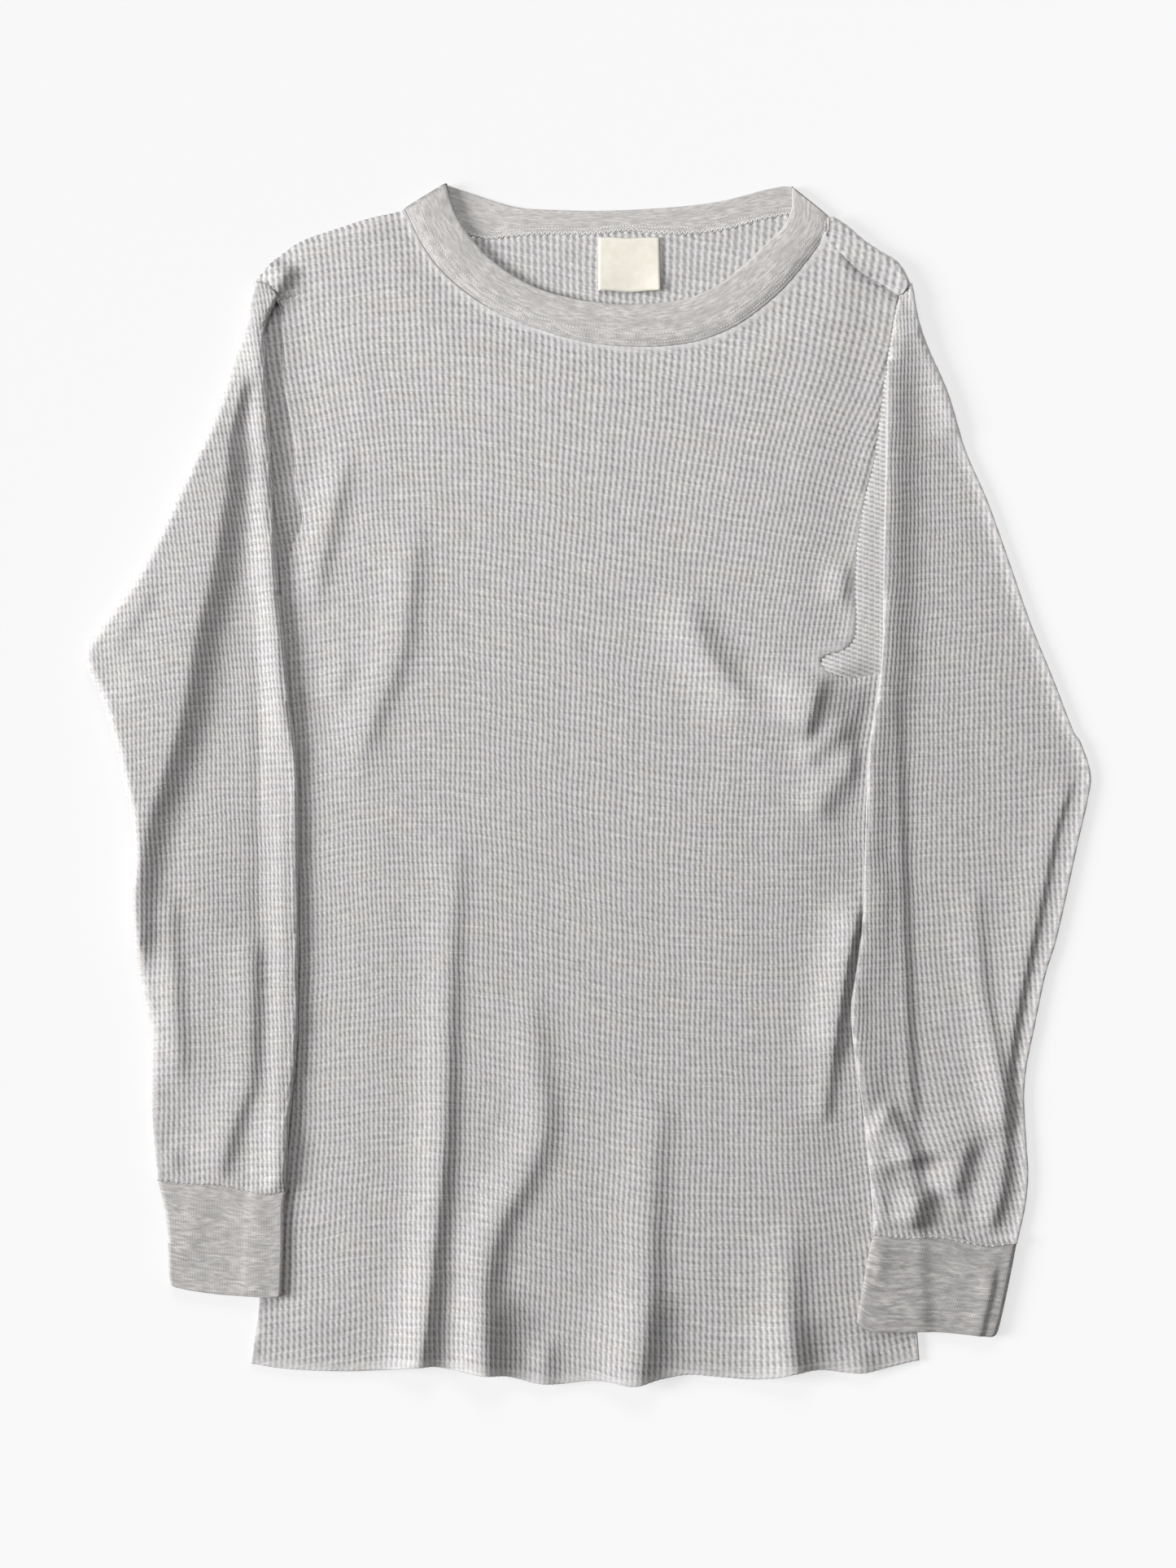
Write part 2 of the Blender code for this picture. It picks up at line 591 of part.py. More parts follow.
def build_neckband():
    """Neckband: one closed strip, its front half above its back half, folded over at both shoulders."""
    front = list(zip(Curve(FRONT_NECKLINE).spaced(NECK_COLUMNS), Curve(FRONT_BAND_EDGE).spaced(NECK_COLUMNS)))
    back = list(zip(Curve(BACK_NECKLINE).spaced(NECK_COLUMNS), Curve(BACK_BAND_EDGE).spaced(NECK_COLUMNS)))
    radius = BAND_LEVEL / 2

    def across(seam, free, height, swing=0.0, out=(0.0, 0.0), gap=BAND_GAP):
        """Points from the band's seam to its free edge, all moved by swing the way that out points."""
        inset = gap / math.dist(seam, free)
        return [
            (mix(seam[0], free[0], f) + swing * out[0], mix(seam[1], free[1], f) + swing * out[1], height)
            for f in (inset, *BAND_POINTS)
        ]

    def folded(ends, out):
        """Rows round a fold, from below to above, on the line between a seam end and a free end."""
        turns = [math.radians(angle) for angle in FOLD_ANGLES]
        return [
            across(*ends, radius - radius * math.cos(turn), radius * (math.sin(turn) - 1), out, FOLD_CLEARANCE)
            for turn in turns
        ]

    rows = [across(seam, free, BAND_LEVEL) for seam, free in front[1:]]
    rows += folded(back[-1], LEFT_SHOULDER_OUT)[::-1]
    rows += [across(seam, free, 0.0) for seam, free in back[-2:0:-1]]
    rows += folded(back[0], RIGHT_NECK_OUT)
    rows.append(rows[0])
    add_cloth("neckband", [grid_skin(rows[::-1])], BAND_WALL, BAND_JERSEY)


def build_label():
    """Blank woven label under the middle of the back neck; its lower corners curl up."""
    base = KNIT_WALL + SEAM_GAP + LABEL_WALL
    rows = []
    for j in range(LABEL_ROWS + 1):
        v = j / LABEL_ROWS
        row = []
        for i in range(LABEL_COLUMNS + 1):
            u = i / LABEL_COLUMNS
            curl = LABEL_CURL * (1 - v) ** 2 * abs(2 * u - 1) ** 2
            row.append((mix(LABEL_LEFT, LABEL_RIGHT, u), mix(LABEL_BOTTOM, LABEL_TOP, v), base + curl))
        rows.append(row)
    add_cloth("neck_label", [grid_skin(rows)], LABEL_WALL, LABEL_WEAVE)


def main():
    for old in list(bpy.data.objects):
        bpy.data.objects.remove(old, do_unlink=True)
    build_back_panel()
    build_front_panel()
    build_sleeve("right_sleeve", RIGHT_SLEEVE, RIGHT_UNDERARM, -1, RIGHT_SIDE, RIGHT_SLEEVE_CREASES)
    build_sleeve("left_sleeve", LEFT_SLEEVE, LEFT_UNDERARM, 1, LEFT_SIDE, LEFT_SLEEVE_CREASES)
    build_cuff("right_cuff", RIGHT_CUFF, -1, RIGHT_SIDE)
    build_cuff("left_cuff", LEFT_CUFF, 1, LEFT_SIDE)
    build_neckband()
    build_label()


main()
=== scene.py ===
"""Looks of a long-sleeved waffle-knit thermal top that lies flat on its back, its sleeves folded down beside it.

Right and left are the wearer's: the right sleeve is at -X and the neck is at +Y. Lengths are millimetres until
a mesh is made. A sheet of knit is laid out on a lattice that follows its wales (the ribs, up the cloth) and its
courses (the rows, across it), so that every pit and rib of the waffle is real relief.
"""

import logging
import math
from dataclasses import dataclass, field
from enum import IntEnum
from typing import Callable, Optional, Sequence, Union

import bmesh
import bpy
import numpy as np
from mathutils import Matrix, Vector
from mathutils.geometry import delaunay_2d_cdt
from mathutils.kdtree import KDTree


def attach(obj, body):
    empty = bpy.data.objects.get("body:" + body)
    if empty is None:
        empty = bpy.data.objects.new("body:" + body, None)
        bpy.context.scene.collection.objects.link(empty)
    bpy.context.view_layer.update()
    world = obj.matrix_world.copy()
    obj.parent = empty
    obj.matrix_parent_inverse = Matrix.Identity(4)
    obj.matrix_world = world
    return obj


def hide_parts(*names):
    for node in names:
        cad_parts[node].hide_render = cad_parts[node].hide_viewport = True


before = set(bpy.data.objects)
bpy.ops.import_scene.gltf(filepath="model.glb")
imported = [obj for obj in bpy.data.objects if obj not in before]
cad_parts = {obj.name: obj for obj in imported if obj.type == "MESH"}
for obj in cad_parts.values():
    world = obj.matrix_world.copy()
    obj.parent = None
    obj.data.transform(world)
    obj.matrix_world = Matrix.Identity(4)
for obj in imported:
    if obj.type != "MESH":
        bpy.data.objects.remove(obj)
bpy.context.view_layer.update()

log = logging.getLogger("thermal_top")

Array = np.ndarray
Level = Callable[[Array], Array]
Table = Sequence[tuple[float, float]]
Colour = tuple[float, float, float]
Pairs = set[tuple[int, int]]

MM = 0.001
UV_NAME = "OFBake"
KNIT_NAME = "knit"
SEED = 7

# Cloth
KNIT_WALL = 1.6
BAND_WALL = 1.8
FRONT_LEVEL = 3.5  # top of the front panel where it lies flat on the back panel
OVER_BODY = 3.9  # underside of a sleeve or cuff where it lies on the body
BORDER_STEP = 1.2  # between the points of an outline
LINE_STEP = 4.0  # between the points of a line that distances are taken to
CLEARANCE = 0.85  # between an outline and the lattice inside it
COARSE_STEP = 13.0  # between the points of a plain hidden sheet
WELD = 0.004  # points of two sheets that are nearer than this become one
BAKE_MARGIN = 4.0  # round each part of the cloth in the bake's map
CUFF_HEIGHT = 6.6  # top of a cuff where it lies on the surface
CUFF_RISE = 0.35  # how much of its underside's lift a cuff's top keeps


class Side(IntEnum):
    """The wearer's side that a piece is on, as the sign of its x."""

    RIGHT = -1
    LEFT = 1


class Edge(IntEnum):
    """What a stretch of an outline is, which sets how its cloth turns there."""

    HEM = 0
    SIDE = 1
    SEAM = 2
    FOLD = 3
    OUTER = 4
    CUFF = 5
    SHOULDER = 6


# -------- shapes in the plane


def smooth_step(t: Array) -> Array:
    """0 to 1 with level ends, for t from 0 to 1."""
    t = np.clip(t, 0.0, 1.0)
    return t * t * (3 - 2 * t)


def mix(a: Array, b: Array, t: Array) -> Array:
    """The value t of the way from a to b."""
    return a + (b - a) * t


def cubic_weights(t: Array) -> Array:
    """Catmull-Rom weights of the four neighbours of a place t of the way between the middle two.

    Past the middle two, the curve goes on straight.

    Args:
        t: how far the place is, less than 0 or more than 1 if it is past the middle two.

    Returns:
        The weights, along a last axis of four.
    """
    past = t - np.clip(t, 0, 1)
    t = t - past
    weights = 0.5 * np.stack(
        [-t + 2 * t**2 - t**3, 2 - 5 * t**2 + 3 * t**3, t + 4 * t**2 - 3 * t**3, t**3 - t**2], axis=-1
    )
    slope = np.where((past > 0)[..., None], (0, -0.5, 0, 0.5), (-0.5, 0, 0.5, 0))
    return weights + past[..., None] * slope


def smooth_line(table: Table, step: float) -> Array:
    """Points at even steps along a smooth line through the points of a table.

    Args:
        table: the points that the line runs through.
        step: the distance between the points that are wanted, about.

    Returns:
        The points, from the table's first to its last.
    """
    knots = np.array(table, dtype=float)
    padded = np.vstack([2 * knots[0] - knots[1], knots, 2 * knots[-1] - knots[-2]])
    t = np.linspace(0, len(knots) - 1, 24 * (len(knots) - 1) + 1)
    i = np.minimum(t.astype(int), len(knots) - 2)
    fine = (padded[i[:, None] + np.arange(4)] * cubic_weights(t - i)[..., None]).sum(axis=1)
    lengths = np.concatenate([[0.0], np.cumsum(np.hypot(*np.diff(fine, axis=0).T))])
    wanted = np.linspace(0, lengths[-1], max(int(round(lengths[-1] / step)), 1) + 1)
    return np.column_stack([np.interp(wanted, lengths, fine[:, k]) for k in range(fine.shape[1])])


def across_at(table: Table, heights: Array) -> Array:
    """The x of a line at some heights, for a table of points whose heights rise or fall all along."""
    rows = np.array(sorted(table, key=lambda point: point[1]))
    return np.interp(heights, rows[:, 1], rows[:, 0])


def is_inside(loop: Array, points: Array) -> Array:
    """Whether each point lies inside a closed loop.

    Args:
        loop: the loop's points in order.
        points: the places that are asked for.

    Returns:
        One truth value for each place.
    """
    found = np.zeros(len(points), dtype=bool)
    x, y = points.T
    for (ax, ay), (bx, by) in zip(loop, np.roll(loop, -1, axis=0)):
        if ay == by:
            continue
        spans = (ay > y) != (by > y)
        found ^= spans & (x < ax + (y - ay) * (bx - ax) / (by - ay))
    return found


def from_points(marks: Array, points: Array) -> Array:
    """The distance from each point to the nearest of some marks.

    Args:
        marks: the places that distances are taken to.
        points: the places that are asked for.

    Returns:
        One distance for each place.
    """
    tree = KDTree(len(marks))
    for i, (x, y) in enumerate(marks):
        tree.insert((x, y, 0.0), i)
    tree.balance()
    return np.array([tree.find((x, y, 0.0))[2] for x, y in points])


def from_line(line: Array, points: Array) -> tuple[Array, Array, Array]:
    """Where points lie beside a line.

    Args:
        line: the points of the line.
        points: the places that are asked for.

    Returns:
        The distance to the line, how far along it the nearest place is (0 to 1), and whether the point is on
        the right-hand side of the line as it runs.
    """
    start, step = line[:-1], np.diff(line, axis=0)
    offset = points[:, None, :] - start
    along = np.clip((offset * step).sum(axis=2) / (step**2).sum(axis=1), 0, 1)
    apart = offset - along[..., None] * step
    squared = (apart**2).sum(axis=2)
    nearest = squared.argmin(axis=1)
    rows = np.arange(len(points))
    off = apart[rows, nearest]
    heading = step[nearest]
    is_right = off[:, 0] * heading[:, 1] - off[:, 1] * heading[:, 0] > 0
    part = (nearest + along[rows, nearest]) / len(start)
    return np.sqrt(squared[rows, nearest]), part, is_right


def swell(distance: Array, reach: float) -> Array:
    """1 at no distance, falling away to 0 over a reach."""
    return np.exp(-((distance / reach) ** 2))


def away(table: Table, points: Array, step: float = LINE_STEP) -> Array:
    """The distance from each point to the smooth line through a table."""
    return from_line(smooth_line(table, step), points)[0]


@dataclass
class Outline:
    """The edge of a piece as seen from above, anticlockwise, with what each stretch of it is."""

    stretches: Sequence[tuple[Edge, Table]]
    step: float = BORDER_STEP
    points: Array = field(init=False)
    kinds: Array = field(init=False)
    outward: Array = field(init=False)
    border: Array = field(init=False)

    def __post_init__(self) -> None:
        """Lays out the points of every stretch and the way that each of them faces."""
        lines = [smooth_line(table, self.step)[:-1] for _, table in self.stretches]
        self.points = np.vstack(lines)
        self.kinds = np.concatenate([[kind] * len(line) for (kind, _), line in zip(self.stretches, lines)])
        self.border = self.points
        ahead, behind = np.roll(self.points, -2, axis=0), np.roll(self.points, 2, axis=0)
        heading = ahead - behind
        heading /= np.hypot(*heading.T)[:, None]
        self.outward = np.column_stack([heading[:, 1], -heading[:, 0]])

    def radii(self, by_kind: dict[Edge, float]) -> Array:
        """The radius at every point that the cloth turns by, evened out from stretch to stretch."""
        sharp = np.array([by_kind.get(Edge(kind), 0.0) for kind in self.kinds])
        spread = 4
        return np.mean([np.roll(sharp, k) for k in range(-spread, spread + 1)], axis=0)

    def pull_in(self, radii: Array) -> Array:
        """Moves the outline in by its radii and drops the points that this turns back on themselves.

        Args:
            radii: how far each point moves in.

        Returns:
            The radii of the points that are left.
        """
        border = self.points - self.outward * radii[:, None]
        apart = np.sqrt(((border[:, None, :] - self.points) ** 2).sum(axis=2))
        keep = (apart - 0.9 * radii).min(axis=1) >= 0
        while not keep.all():
            self.points, self.kinds, self.outward = self.points[keep], self.kinds[keep], self.outward[keep]
            border, radii = border[keep], radii[keep]
            step_out = np.roll(self.points, -1, axis=0) - self.points
            step_in = np.roll(border, -1, axis=0) - border
            keep = (step_out * step_in).sum(axis=1) > 0.15 * (step_out**2).sum(axis=1)
        self.border = border
        return radii


# -------- the knit's grain and folds


@dataclass(frozen=True)
class Chart:
    """A smooth surface through a small table. A row belongs to a height, a column to a number across."""

    columns: Sequence[float]
    rows: Sequence[tuple[float, Sequence[float]]]

    def at(self, across: Array, heights: Array) -> Array:
        """The table's value at some numbers across and heights, blended both ways.

        Args:
            across: numbers across.
            heights: heights, one for each number.

        Returns:
            One value for each number.
        """
        knots = np.array([height for height, _ in self.rows])
        values = np.pad(np.array([row for _, row in self.rows]), 1, mode="reflect", reflect_type="odd")
        i, s = self._place(across, np.array(self.columns))
        j, t = self._place(-heights, -knots)
        near = values[(j[:, None] + np.arange(4))[:, :, None], (i[:, None] + np.arange(4))[:, None, :]]
        return (near * cubic_weights(t)[:, :, None] * cubic_weights(s)[:, None, :]).sum(axis=(1, 2))

    @staticmethod
    def _place(values: Array, knots: Array) -> tuple[Array, Array]:
        """The knot below each value, and how far it is from there to the next.

        Args:
            values: the values.
            knots: the knots, rising.

        Returns:
            The index of the knot, and the part of the way from it.
        """
        past = values - np.clip(values, knots[0], knots[-1])
        rank = np.interp(values, knots, np.arange(len(knots)))
        index = np.minimum(rank.astype(int), len(knots) - 2)
        spacing = np.where(past > 0, knots[-1] - knots[-2], knots[1] - knots[0])
        return index, rank - index + past / spacing


@dataclass(frozen=True)
class Grain:
    """How the knit runs over a piece: its wales by number and height, and its courses."""

    wales: Chart
    drift: Chart
    course_pitch: float = 4.85
    wander: float = 0.32

    def place(self, numbers: Array) -> Array:
        """The place of each pair of wale and course numbers.

        Args:
            numbers: wale and course numbers, a row for each pair.

        Returns:
            The places, a row for each pair.
        """
        wale, course = numbers.T
        y = course * self.course_pitch
        for _ in range(9):
            x = self.wales.at(wale, y)
            y = course * self.course_pitch + self.drift.at(x, y)
        x = x + self.wander * (np.sin(y / 17 + 1.7 * np.sin(x / 29)) + 0.7 * np.sin(y / 7.3 + x / 11))
        y = y + self.wander * (np.sin(x / 13 + y / 41) + 0.8 * np.sin(x / 5.1 + 2 * np.sin(y / 19)))
        return np.column_stack([x, y])

    def numbers(self, points: Array) -> Array:
        """The wale and course numbers at some places.

        Args:
            points: the places.

        Returns:
            The two numbers of each place.
        """
        x, y = points.T
        wale = np.zeros(len(points))
        for _ in range(9):
            slope = self.wales.at(wale + 0.5, y) - self.wales.at(wale - 0.5, y)
            wale = wale + (x - self.wales.at(wale, y)) / slope
        return np.column_stack([wale, (y - self.drift.at(x, y)) / self.course_pitch])


@dataclass(frozen=True)
class CrossGrain:
    """The knit of a narrow strip whose ribs lie across it, falling a little towards +X."""

    wale_pitch: float = 3.1
    course_pitch: float = 4.8
    slope: float = -0.22

    def place(self, numbers: Array) -> Array:
        """The place of each pair of wale and course numbers."""
        x = -numbers[:, 1] * self.course_pitch
        return np.column_stack([x, numbers[:, 0] * self.wale_pitch + self.slope * x])

    def numbers(self, points: Array) -> Array:
        """The wale and course numbers at some places."""
        x, y = points.T
        return np.column_stack([(y - self.slope * x) / self.wale_pitch, -x / self.course_pitch])


AnyGrain = Union[Grain, CrossGrain]


@dataclass(frozen=True)
class Fold:
    """A soft ridge of cloth along a line, or a trough where its height is below 0.

    Its left-hand side, as the line runs, falls away over `reach` and its right-hand side over `steep`. The
    height goes from `height` to `end_height`, and the fold fades over `fade` at both ends, or only at its far
    end if it starts at the hem.
    """

    line: Table
    height: float
    reach: float = 10.0
    steep: Optional[float] = None
    end_height: Optional[float] = None
    from_hem: bool = False
    fade: float = 26.0

    def raise_by(self, points: Array) -> Array:
        """How far the fold lifts the cloth at some places.

        Args:
            points: the places.

        Returns:
            One lift for each place.
        """
        line = smooth_line(self.line, LINE_STEP)
        far = 2.6 * max(self.reach, self.steep or 0.0)
        near = np.all((points > line.min(axis=0) - far) & (points < line.max(axis=0) + far), axis=1)
        lift = np.zeros(len(points))
        if not near.any():
            return lift
        distance, along, is_right = from_line(line, points[near])
        reach = np.where(is_right, self.steep or self.reach, self.reach)
        end = self.height if self.end_height is None else self.end_height
        length = np.hypot(*np.diff(line, axis=0).T).sum()
        part = min(self.fade / length, 0.5)
        fade = smooth_step((1 - along) / part)
        if not self.from_hem:
            fade = fade * smooth_step(along / part)
        lift[near] = mix(self.height, end, along) * swell(distance, reach) * fade
        return lift


def folded(folds: Sequence[Fold], points: Array) -> Array:
    """What all the folds of a piece add at some places."""
    return sum((fold.raise_by(points) for fold in folds), np.zeros(len(points)))


# -------- meshes of cloth


def even(value: float) -> Level:
    """The same height, or the same amount of relief, at every place."""
    return lambda points: np.full(len(points), value)


def put(name: str, data: bpy.types.ID) -> bpy.types.Object:
    """Puts a new object with some data into the scene, at the origin."""
    made = bpy.data.objects.new(name, data)
    bpy.context.scene.collection.objects.link(made)
    return made


def coarse_points(border: Array, step: float) -> Array:
    """Evenly spread places inside a border, a step apart.

    Args:
        border: the border's points.
        step: the distance between the places.

    Returns:
        The places, none of them close to the border.
    """
    low, high = border.min(axis=0), border.max(axis=0)
    rows = np.arange(low[1], high[1], step * 0.866)
    spread = [
        (x + 0.5 * step * (j % 2), y) for j, y in enumerate(rows) for x in np.arange(low[0], high[0], step)
    ]
    points = np.array(spread)
    points = points[is_inside(border, points)]
    return points[from_points(border, points) > 0.45 * step]


def flood_faces(triangles: Sequence[Sequence[int]], start: Pairs, walls: Pairs) -> list[tuple[int, ...]]:
    """The triangles that can be reached from some edges without crossing a wall.

    Args:
        triangles: corners of every triangle.
        start: the edges to start from.
        walls: the edges not to cross.

    Returns:
        The triangles that were reached.
    """
    neighbours: dict[tuple[int, int], list[int]] = {}
    for index, corners in enumerate(triangles):
        for a, b in zip(corners, (*corners[1:], corners[0])):
            neighbours.setdefault((min(a, b), max(a, b)), []).append(index)
    reached = {index for edge in start for index in neighbours.get(edge, ())}
    queue = list(reached)
    while queue:
        corners = triangles[queue.pop()]
        for a, b in zip(corners, (*corners[1:], corners[0])):
            edge = (min(a, b), max(a, b))
            if edge in walls:
                continue
            for index in neighbours[edge]:
                if index not in reached:
                    reached.add(index)
                    queue.append(index)
    return [tuple(triangles[index]) for index in sorted(reached)]


def pair(a: int, b: int) -> tuple[int, int]:
    """An edge as its lower and higher point."""
    return (int(min(a, b)), int(max(a, b)))


@dataclass
class FilledSheet:
    """The inside of a border, filled with the knit's lattice, or with plain triangles where it isn't fine.

    The border's points come first. Between two wales lies one more column and between two courses one more
    row, so that each pit, rib and bridge of the waffle has a point of its own.
    """

    border: Array
    grain: AnyGrain
    fine_area: Optional[Array] = None
    is_fine: bool = True
    points: Array = field(init=False)
    numbers: Array = field(init=False)
    faces: list[tuple[int, ...]] = field(init=False)

    def __post_init__(self) -> None:
        """Fills the border."""
        lattice, lattice_numbers, quads, rim = self._lattice()
        plain = np.zeros((0, 2))
        if not self.is_fine or self.fine_area is not None:
            plain = coarse_points(self.border, COARSE_STEP)
            if self.fine_area is not None:
                plain = plain[~is_inside(self.fine_area, plain)]
                plain = plain[from_points(self.fine_area, plain) > 0.4 * COARSE_STEP]
        count = len(self.border)
        self.points = np.vstack([self.border, lattice, plain])
        border_numbers, plain_numbers = self.grain.numbers(self.border), self.grain.numbers(plain)
        self.numbers = np.vstack([border_numbers, lattice_numbers, plain_numbers])
        quads = [tuple(count + corner for corner in quad) for quad in quads]
        walls = {pair(count + a, count + b) for a, b in rim}
        self.faces = quads + self._between(walls, count + len(lattice))

    def _lattice(self) -> tuple[Array, Array, list[tuple[int, ...]], list[tuple[int, int]]]:
        """The points, numbers and cells of the lattice that fit inside the border, and its rim's edges.

        Returns:
            The points, their numbers, the cells as four corners each, and the edges round the cells.
        """
        if not self.is_fine:
            return np.zeros((0, 2)), np.zeros((0, 2)), [], []
        edge = self.border if self.fine_area is None else self.fine_area
        reach = self.grain.numbers(edge)
        low, high = np.floor(2 * reach.min(axis=0)) - 1, np.ceil(2 * reach.max(axis=0)) + 1
        grid = np.meshgrid(np.arange(low[0], high[0] + 1), np.arange(low[1], high[1] + 1), indexing="ij")
        numbers = np.stack(grid, axis=-1) / 2
        shape = numbers.shape[:2]
        places = self.grain.place(numbers.reshape(-1, 2))
        kept = is_inside(self.border, places)
        if self.fine_area is not None:
            kept &= is_inside(self.fine_area, places)
        kept[kept] = from_points(self.border, places[kept]) > CLEARANCE
        kept = kept.reshape(shape)
        cells = kept[:-1, :-1] & kept[1:, :-1] & kept[:-1, 1:] & kept[1:, 1:]
        padded = np.pad(cells, 1)
        used = padded[:-1, :-1] | padded[1:, :-1] | padded[:-1, 1:] | padded[1:, 1:]
        ids = np.full(shape, -1)
        ids[used] = np.arange(used.sum())
        quads = np.stack([ids[:-1, :-1], ids[1:, :-1], ids[1:, 1:], ids[:-1, 1:]], axis=-1)[cells]
        upright = padded[:-1, 1:-1] != padded[1:, 1:-1]
        level = padded[1:-1, :-1] != padded[1:-1, 1:]
        rim = list(zip(ids[:, :-1][upright], ids[:, 1:][upright]))
        rim += list(zip(ids[:-1, :][level], ids[1:, :][level]))
        is_used = used.reshape(-1)
        return places[is_used], numbers.reshape(-1, 2)[is_used], quads.tolist(), rim

    def _between(self, walls: Pairs, first_plain: int) -> list[tuple[int, ...]]:
        """Triangles between the border and the lattice, through any plain points.

        Args:
            walls: the edges of the lattice's rim.
            first_plain: index of the first plain point.

        Returns:
            The triangles, as indices into the points.
        """
        count = len(self.border)
        rim = sorted({corner for edge in walls for corner in edge})
        chosen = list(range(count)) + rim + list(range(first_plain, len(self.points)))
        rank = {corner: i for i, corner in enumerate(chosen)}
        loop = [pair(i, (i + 1) % count) for i in range(count)]
        inner = [pair(rank[a], rank[b]) for a, b in walls]
        flat = [Vector(self.points[i]) for i in chosen]
        found, _, triangles, _, _, _ = delaunay_2d_cdt(flat, loop + inner, [], 1, 1e-6)
        if len(found) != len(chosen):
            odd = [tuple(round(v, 1) for v in point) for point in found[len(chosen):]]
            raise ValueError(f"a border crosses itself near {odd}, {len(found)} for {len(chosen)} points")
        kept = flood_faces(triangles, set(loop), set(inner))
        return [tuple(chosen[corner] for corner in corners) for corners in kept]


class ClothMesh:
    """Gathers the sheets and turned edges of one piece of cloth and makes its object."""

    def __init__(self, name: str) -> None:
        """Starts an empty piece.

        Args:
            name: the piece's name.
        """
        self.name = name
        self.points: list[Array] = []
        self.knit: list[Array] = []
        self.flat: list[Array] = []
        self.islands: list[Array] = []
        self.faces: list[tuple[int, ...]] = []
        self.seams: list[Array] = []
        self.count = 0

    def add(self, points: Array, knit: Array, flat: Array, island: int, faces: Sequence, seam: Array) -> int:
        """Adds points and the faces between them.

        Args:
            points: places in millimetres.
            knit: wale number, course number and amount of relief of each point.
            flat: where each point lies on the piece's unfolded cloth.
            island: which part of the cloth that is, for the bake's map.
            faces: corners, as indices into points, anticlockwise from outside.
            seam: whether a point may be merged with one of another sheet at the same place.

        Returns:
            The index of the first new point.
        """
        first = self.count
        self.points.append(points)
        self.knit.append(knit)
        self.flat.append(flat)
        self.islands.append(np.full(len(points), island))
        self.seams.append(seam)
        self.faces += [tuple(first + corner for corner in face) for face in faces]
        self.count += len(points)
        return first

    def add_sheet(
        self, sheet: FilledSheet, level: Level, amount: Level, island: int, faces_up: bool = True
    ) -> None:
        """Adds a filled sheet at the heights that level gives, with the relief that amount gives.

        Args:
            sheet: the sheet.
            level: gives the height at some places.
            amount: gives the amount of relief at some places.
            island: which part of the cloth it is.
            faces_up: whether its faces look up.
        """
        heights, strength = level(sheet.points), amount(sheet.points)
        seam = np.arange(len(sheet.points)) < len(sheet.border)
        faces = sheet.faces if faces_up else [face[::-1] for face in sheet.faces]
        knit = np.column_stack([sheet.numbers, strength])
        self.add(np.column_stack([sheet.points, heights]), knit, sheet.points, island, faces, seam)

    def add_roll(
        self, outline: Outline, radii: Array, top: Array, bottom: Array, grain: Grain, strength: Array,
        rows: int = 6, island: int = 0, kept: Optional[Array] = None,
    ) -> None:
        """Adds the turn of the cloth round an outline, from the top sheet's border to the bottom sheet's.

        Args:
            outline: the edge, pulled in to its border.
            radii: how far the turn stands out from the border at each point.
            top: height of the border above.
            bottom: height of the border below.
            grain: the knit of the top sheet.
            strength: amount of relief at each point.
            rows: how many bands of faces the turn has.
            island: which part of the cloth it belongs to.
            kept: which points' bands are built, or all of them.
        """
        half, middle = (top - bottom) / 2, (top + bottom) / 2
        layers, knit, flat = [], [], []
        for turn in np.linspace(0, math.pi, rows + 1):
            place = outline.border + outline.outward * (radii * math.sin(turn))[:, None]
            unrolled = outline.border + outline.outward * (turn * (radii + half) / 2)[:, None]
            layers.append(np.column_stack([place, middle + half * math.cos(turn)]))
            knit.append(np.column_stack([grain.numbers(unrolled), strength]))
            flat.append(unrolled)
        count = len(outline.border)
        ends = [i for i in range(count) if kept is None or (kept[i] and kept[(i + 1) % count])]
        faces = [
            (j * count + i, (j + 1) * count + i, (j + 1) * count + (i + 1) % count, j * count + (i + 1) % count)
            for j in range(rows)
            for i in ends
        ]
        seam = np.zeros((rows + 1, count), dtype=bool)
        seam[0] = seam[-1] = True
        self.add(np.vstack(layers), np.vstack(knit), np.vstack(flat), island, faces, seam.reshape(-1))

    def add_grid(self, rows: Array, flat: Array, amount: float, island: int, is_ring: bool) -> None:
        """Adds a grid of points, whose columns close into a ring if that is asked.

        Args:
            rows: places, by row and column.
            flat: where they lie on the unfolded cloth.
            amount: the knit's third number.
            island: which part of the cloth it is.
            is_ring: whether the last column meets the first.
        """
        height, width = rows.shape[:2]
        last = width if is_ring else width - 1
        faces = [
            (j * width + i, j * width + (i + 1) % width, (j + 1) * width + (i + 1) % width, (j + 1) * width + i)
            for j in range(height - 1)
            for i in range(last)
        ]
        points = rows.reshape(-1, 3)
        spread = flat.reshape(-1, 2)
        knit = np.column_stack([spread, np.full(len(points), amount)])
        self.add(points, knit, spread, island, faces, np.ones(len(points), dtype=bool))

    def make(self) -> bpy.types.Object:
        """Makes the object, with its knit numbers and its bake map, and merges sheets where they meet.

        Returns:
            The object.
        """
        mesh = bpy.data.meshes.new(self.name)
        mesh.from_pydata(np.vstack(self.points) * MM, [], self.faces)
        mesh.shade_smooth()
        knit = mesh.attributes.new(KNIT_NAME, "FLOAT_VECTOR", "POINT")
        knit.data.foreach_set("vector", np.vstack(self.knit).astype(np.float32).reshape(-1))
        self._lay_out_bake_map(mesh)
        bm = bmesh.new()
        bm.from_mesh(mesh)
        bm.verts.ensure_lookup_table()
        seams = np.concatenate(self.seams)
        bmesh.ops.remove_doubles(bm, verts=[bm.verts[i] for i in np.flatnonzero(seams)], dist=WELD * MM)
        loose = [vert for vert in bm.verts if not vert.link_faces]
        bmesh.ops.delete(bm, geom=loose, context="VERTS")
        bm.to_mesh(mesh)
        bm.free()
        return put(self.name, mesh)

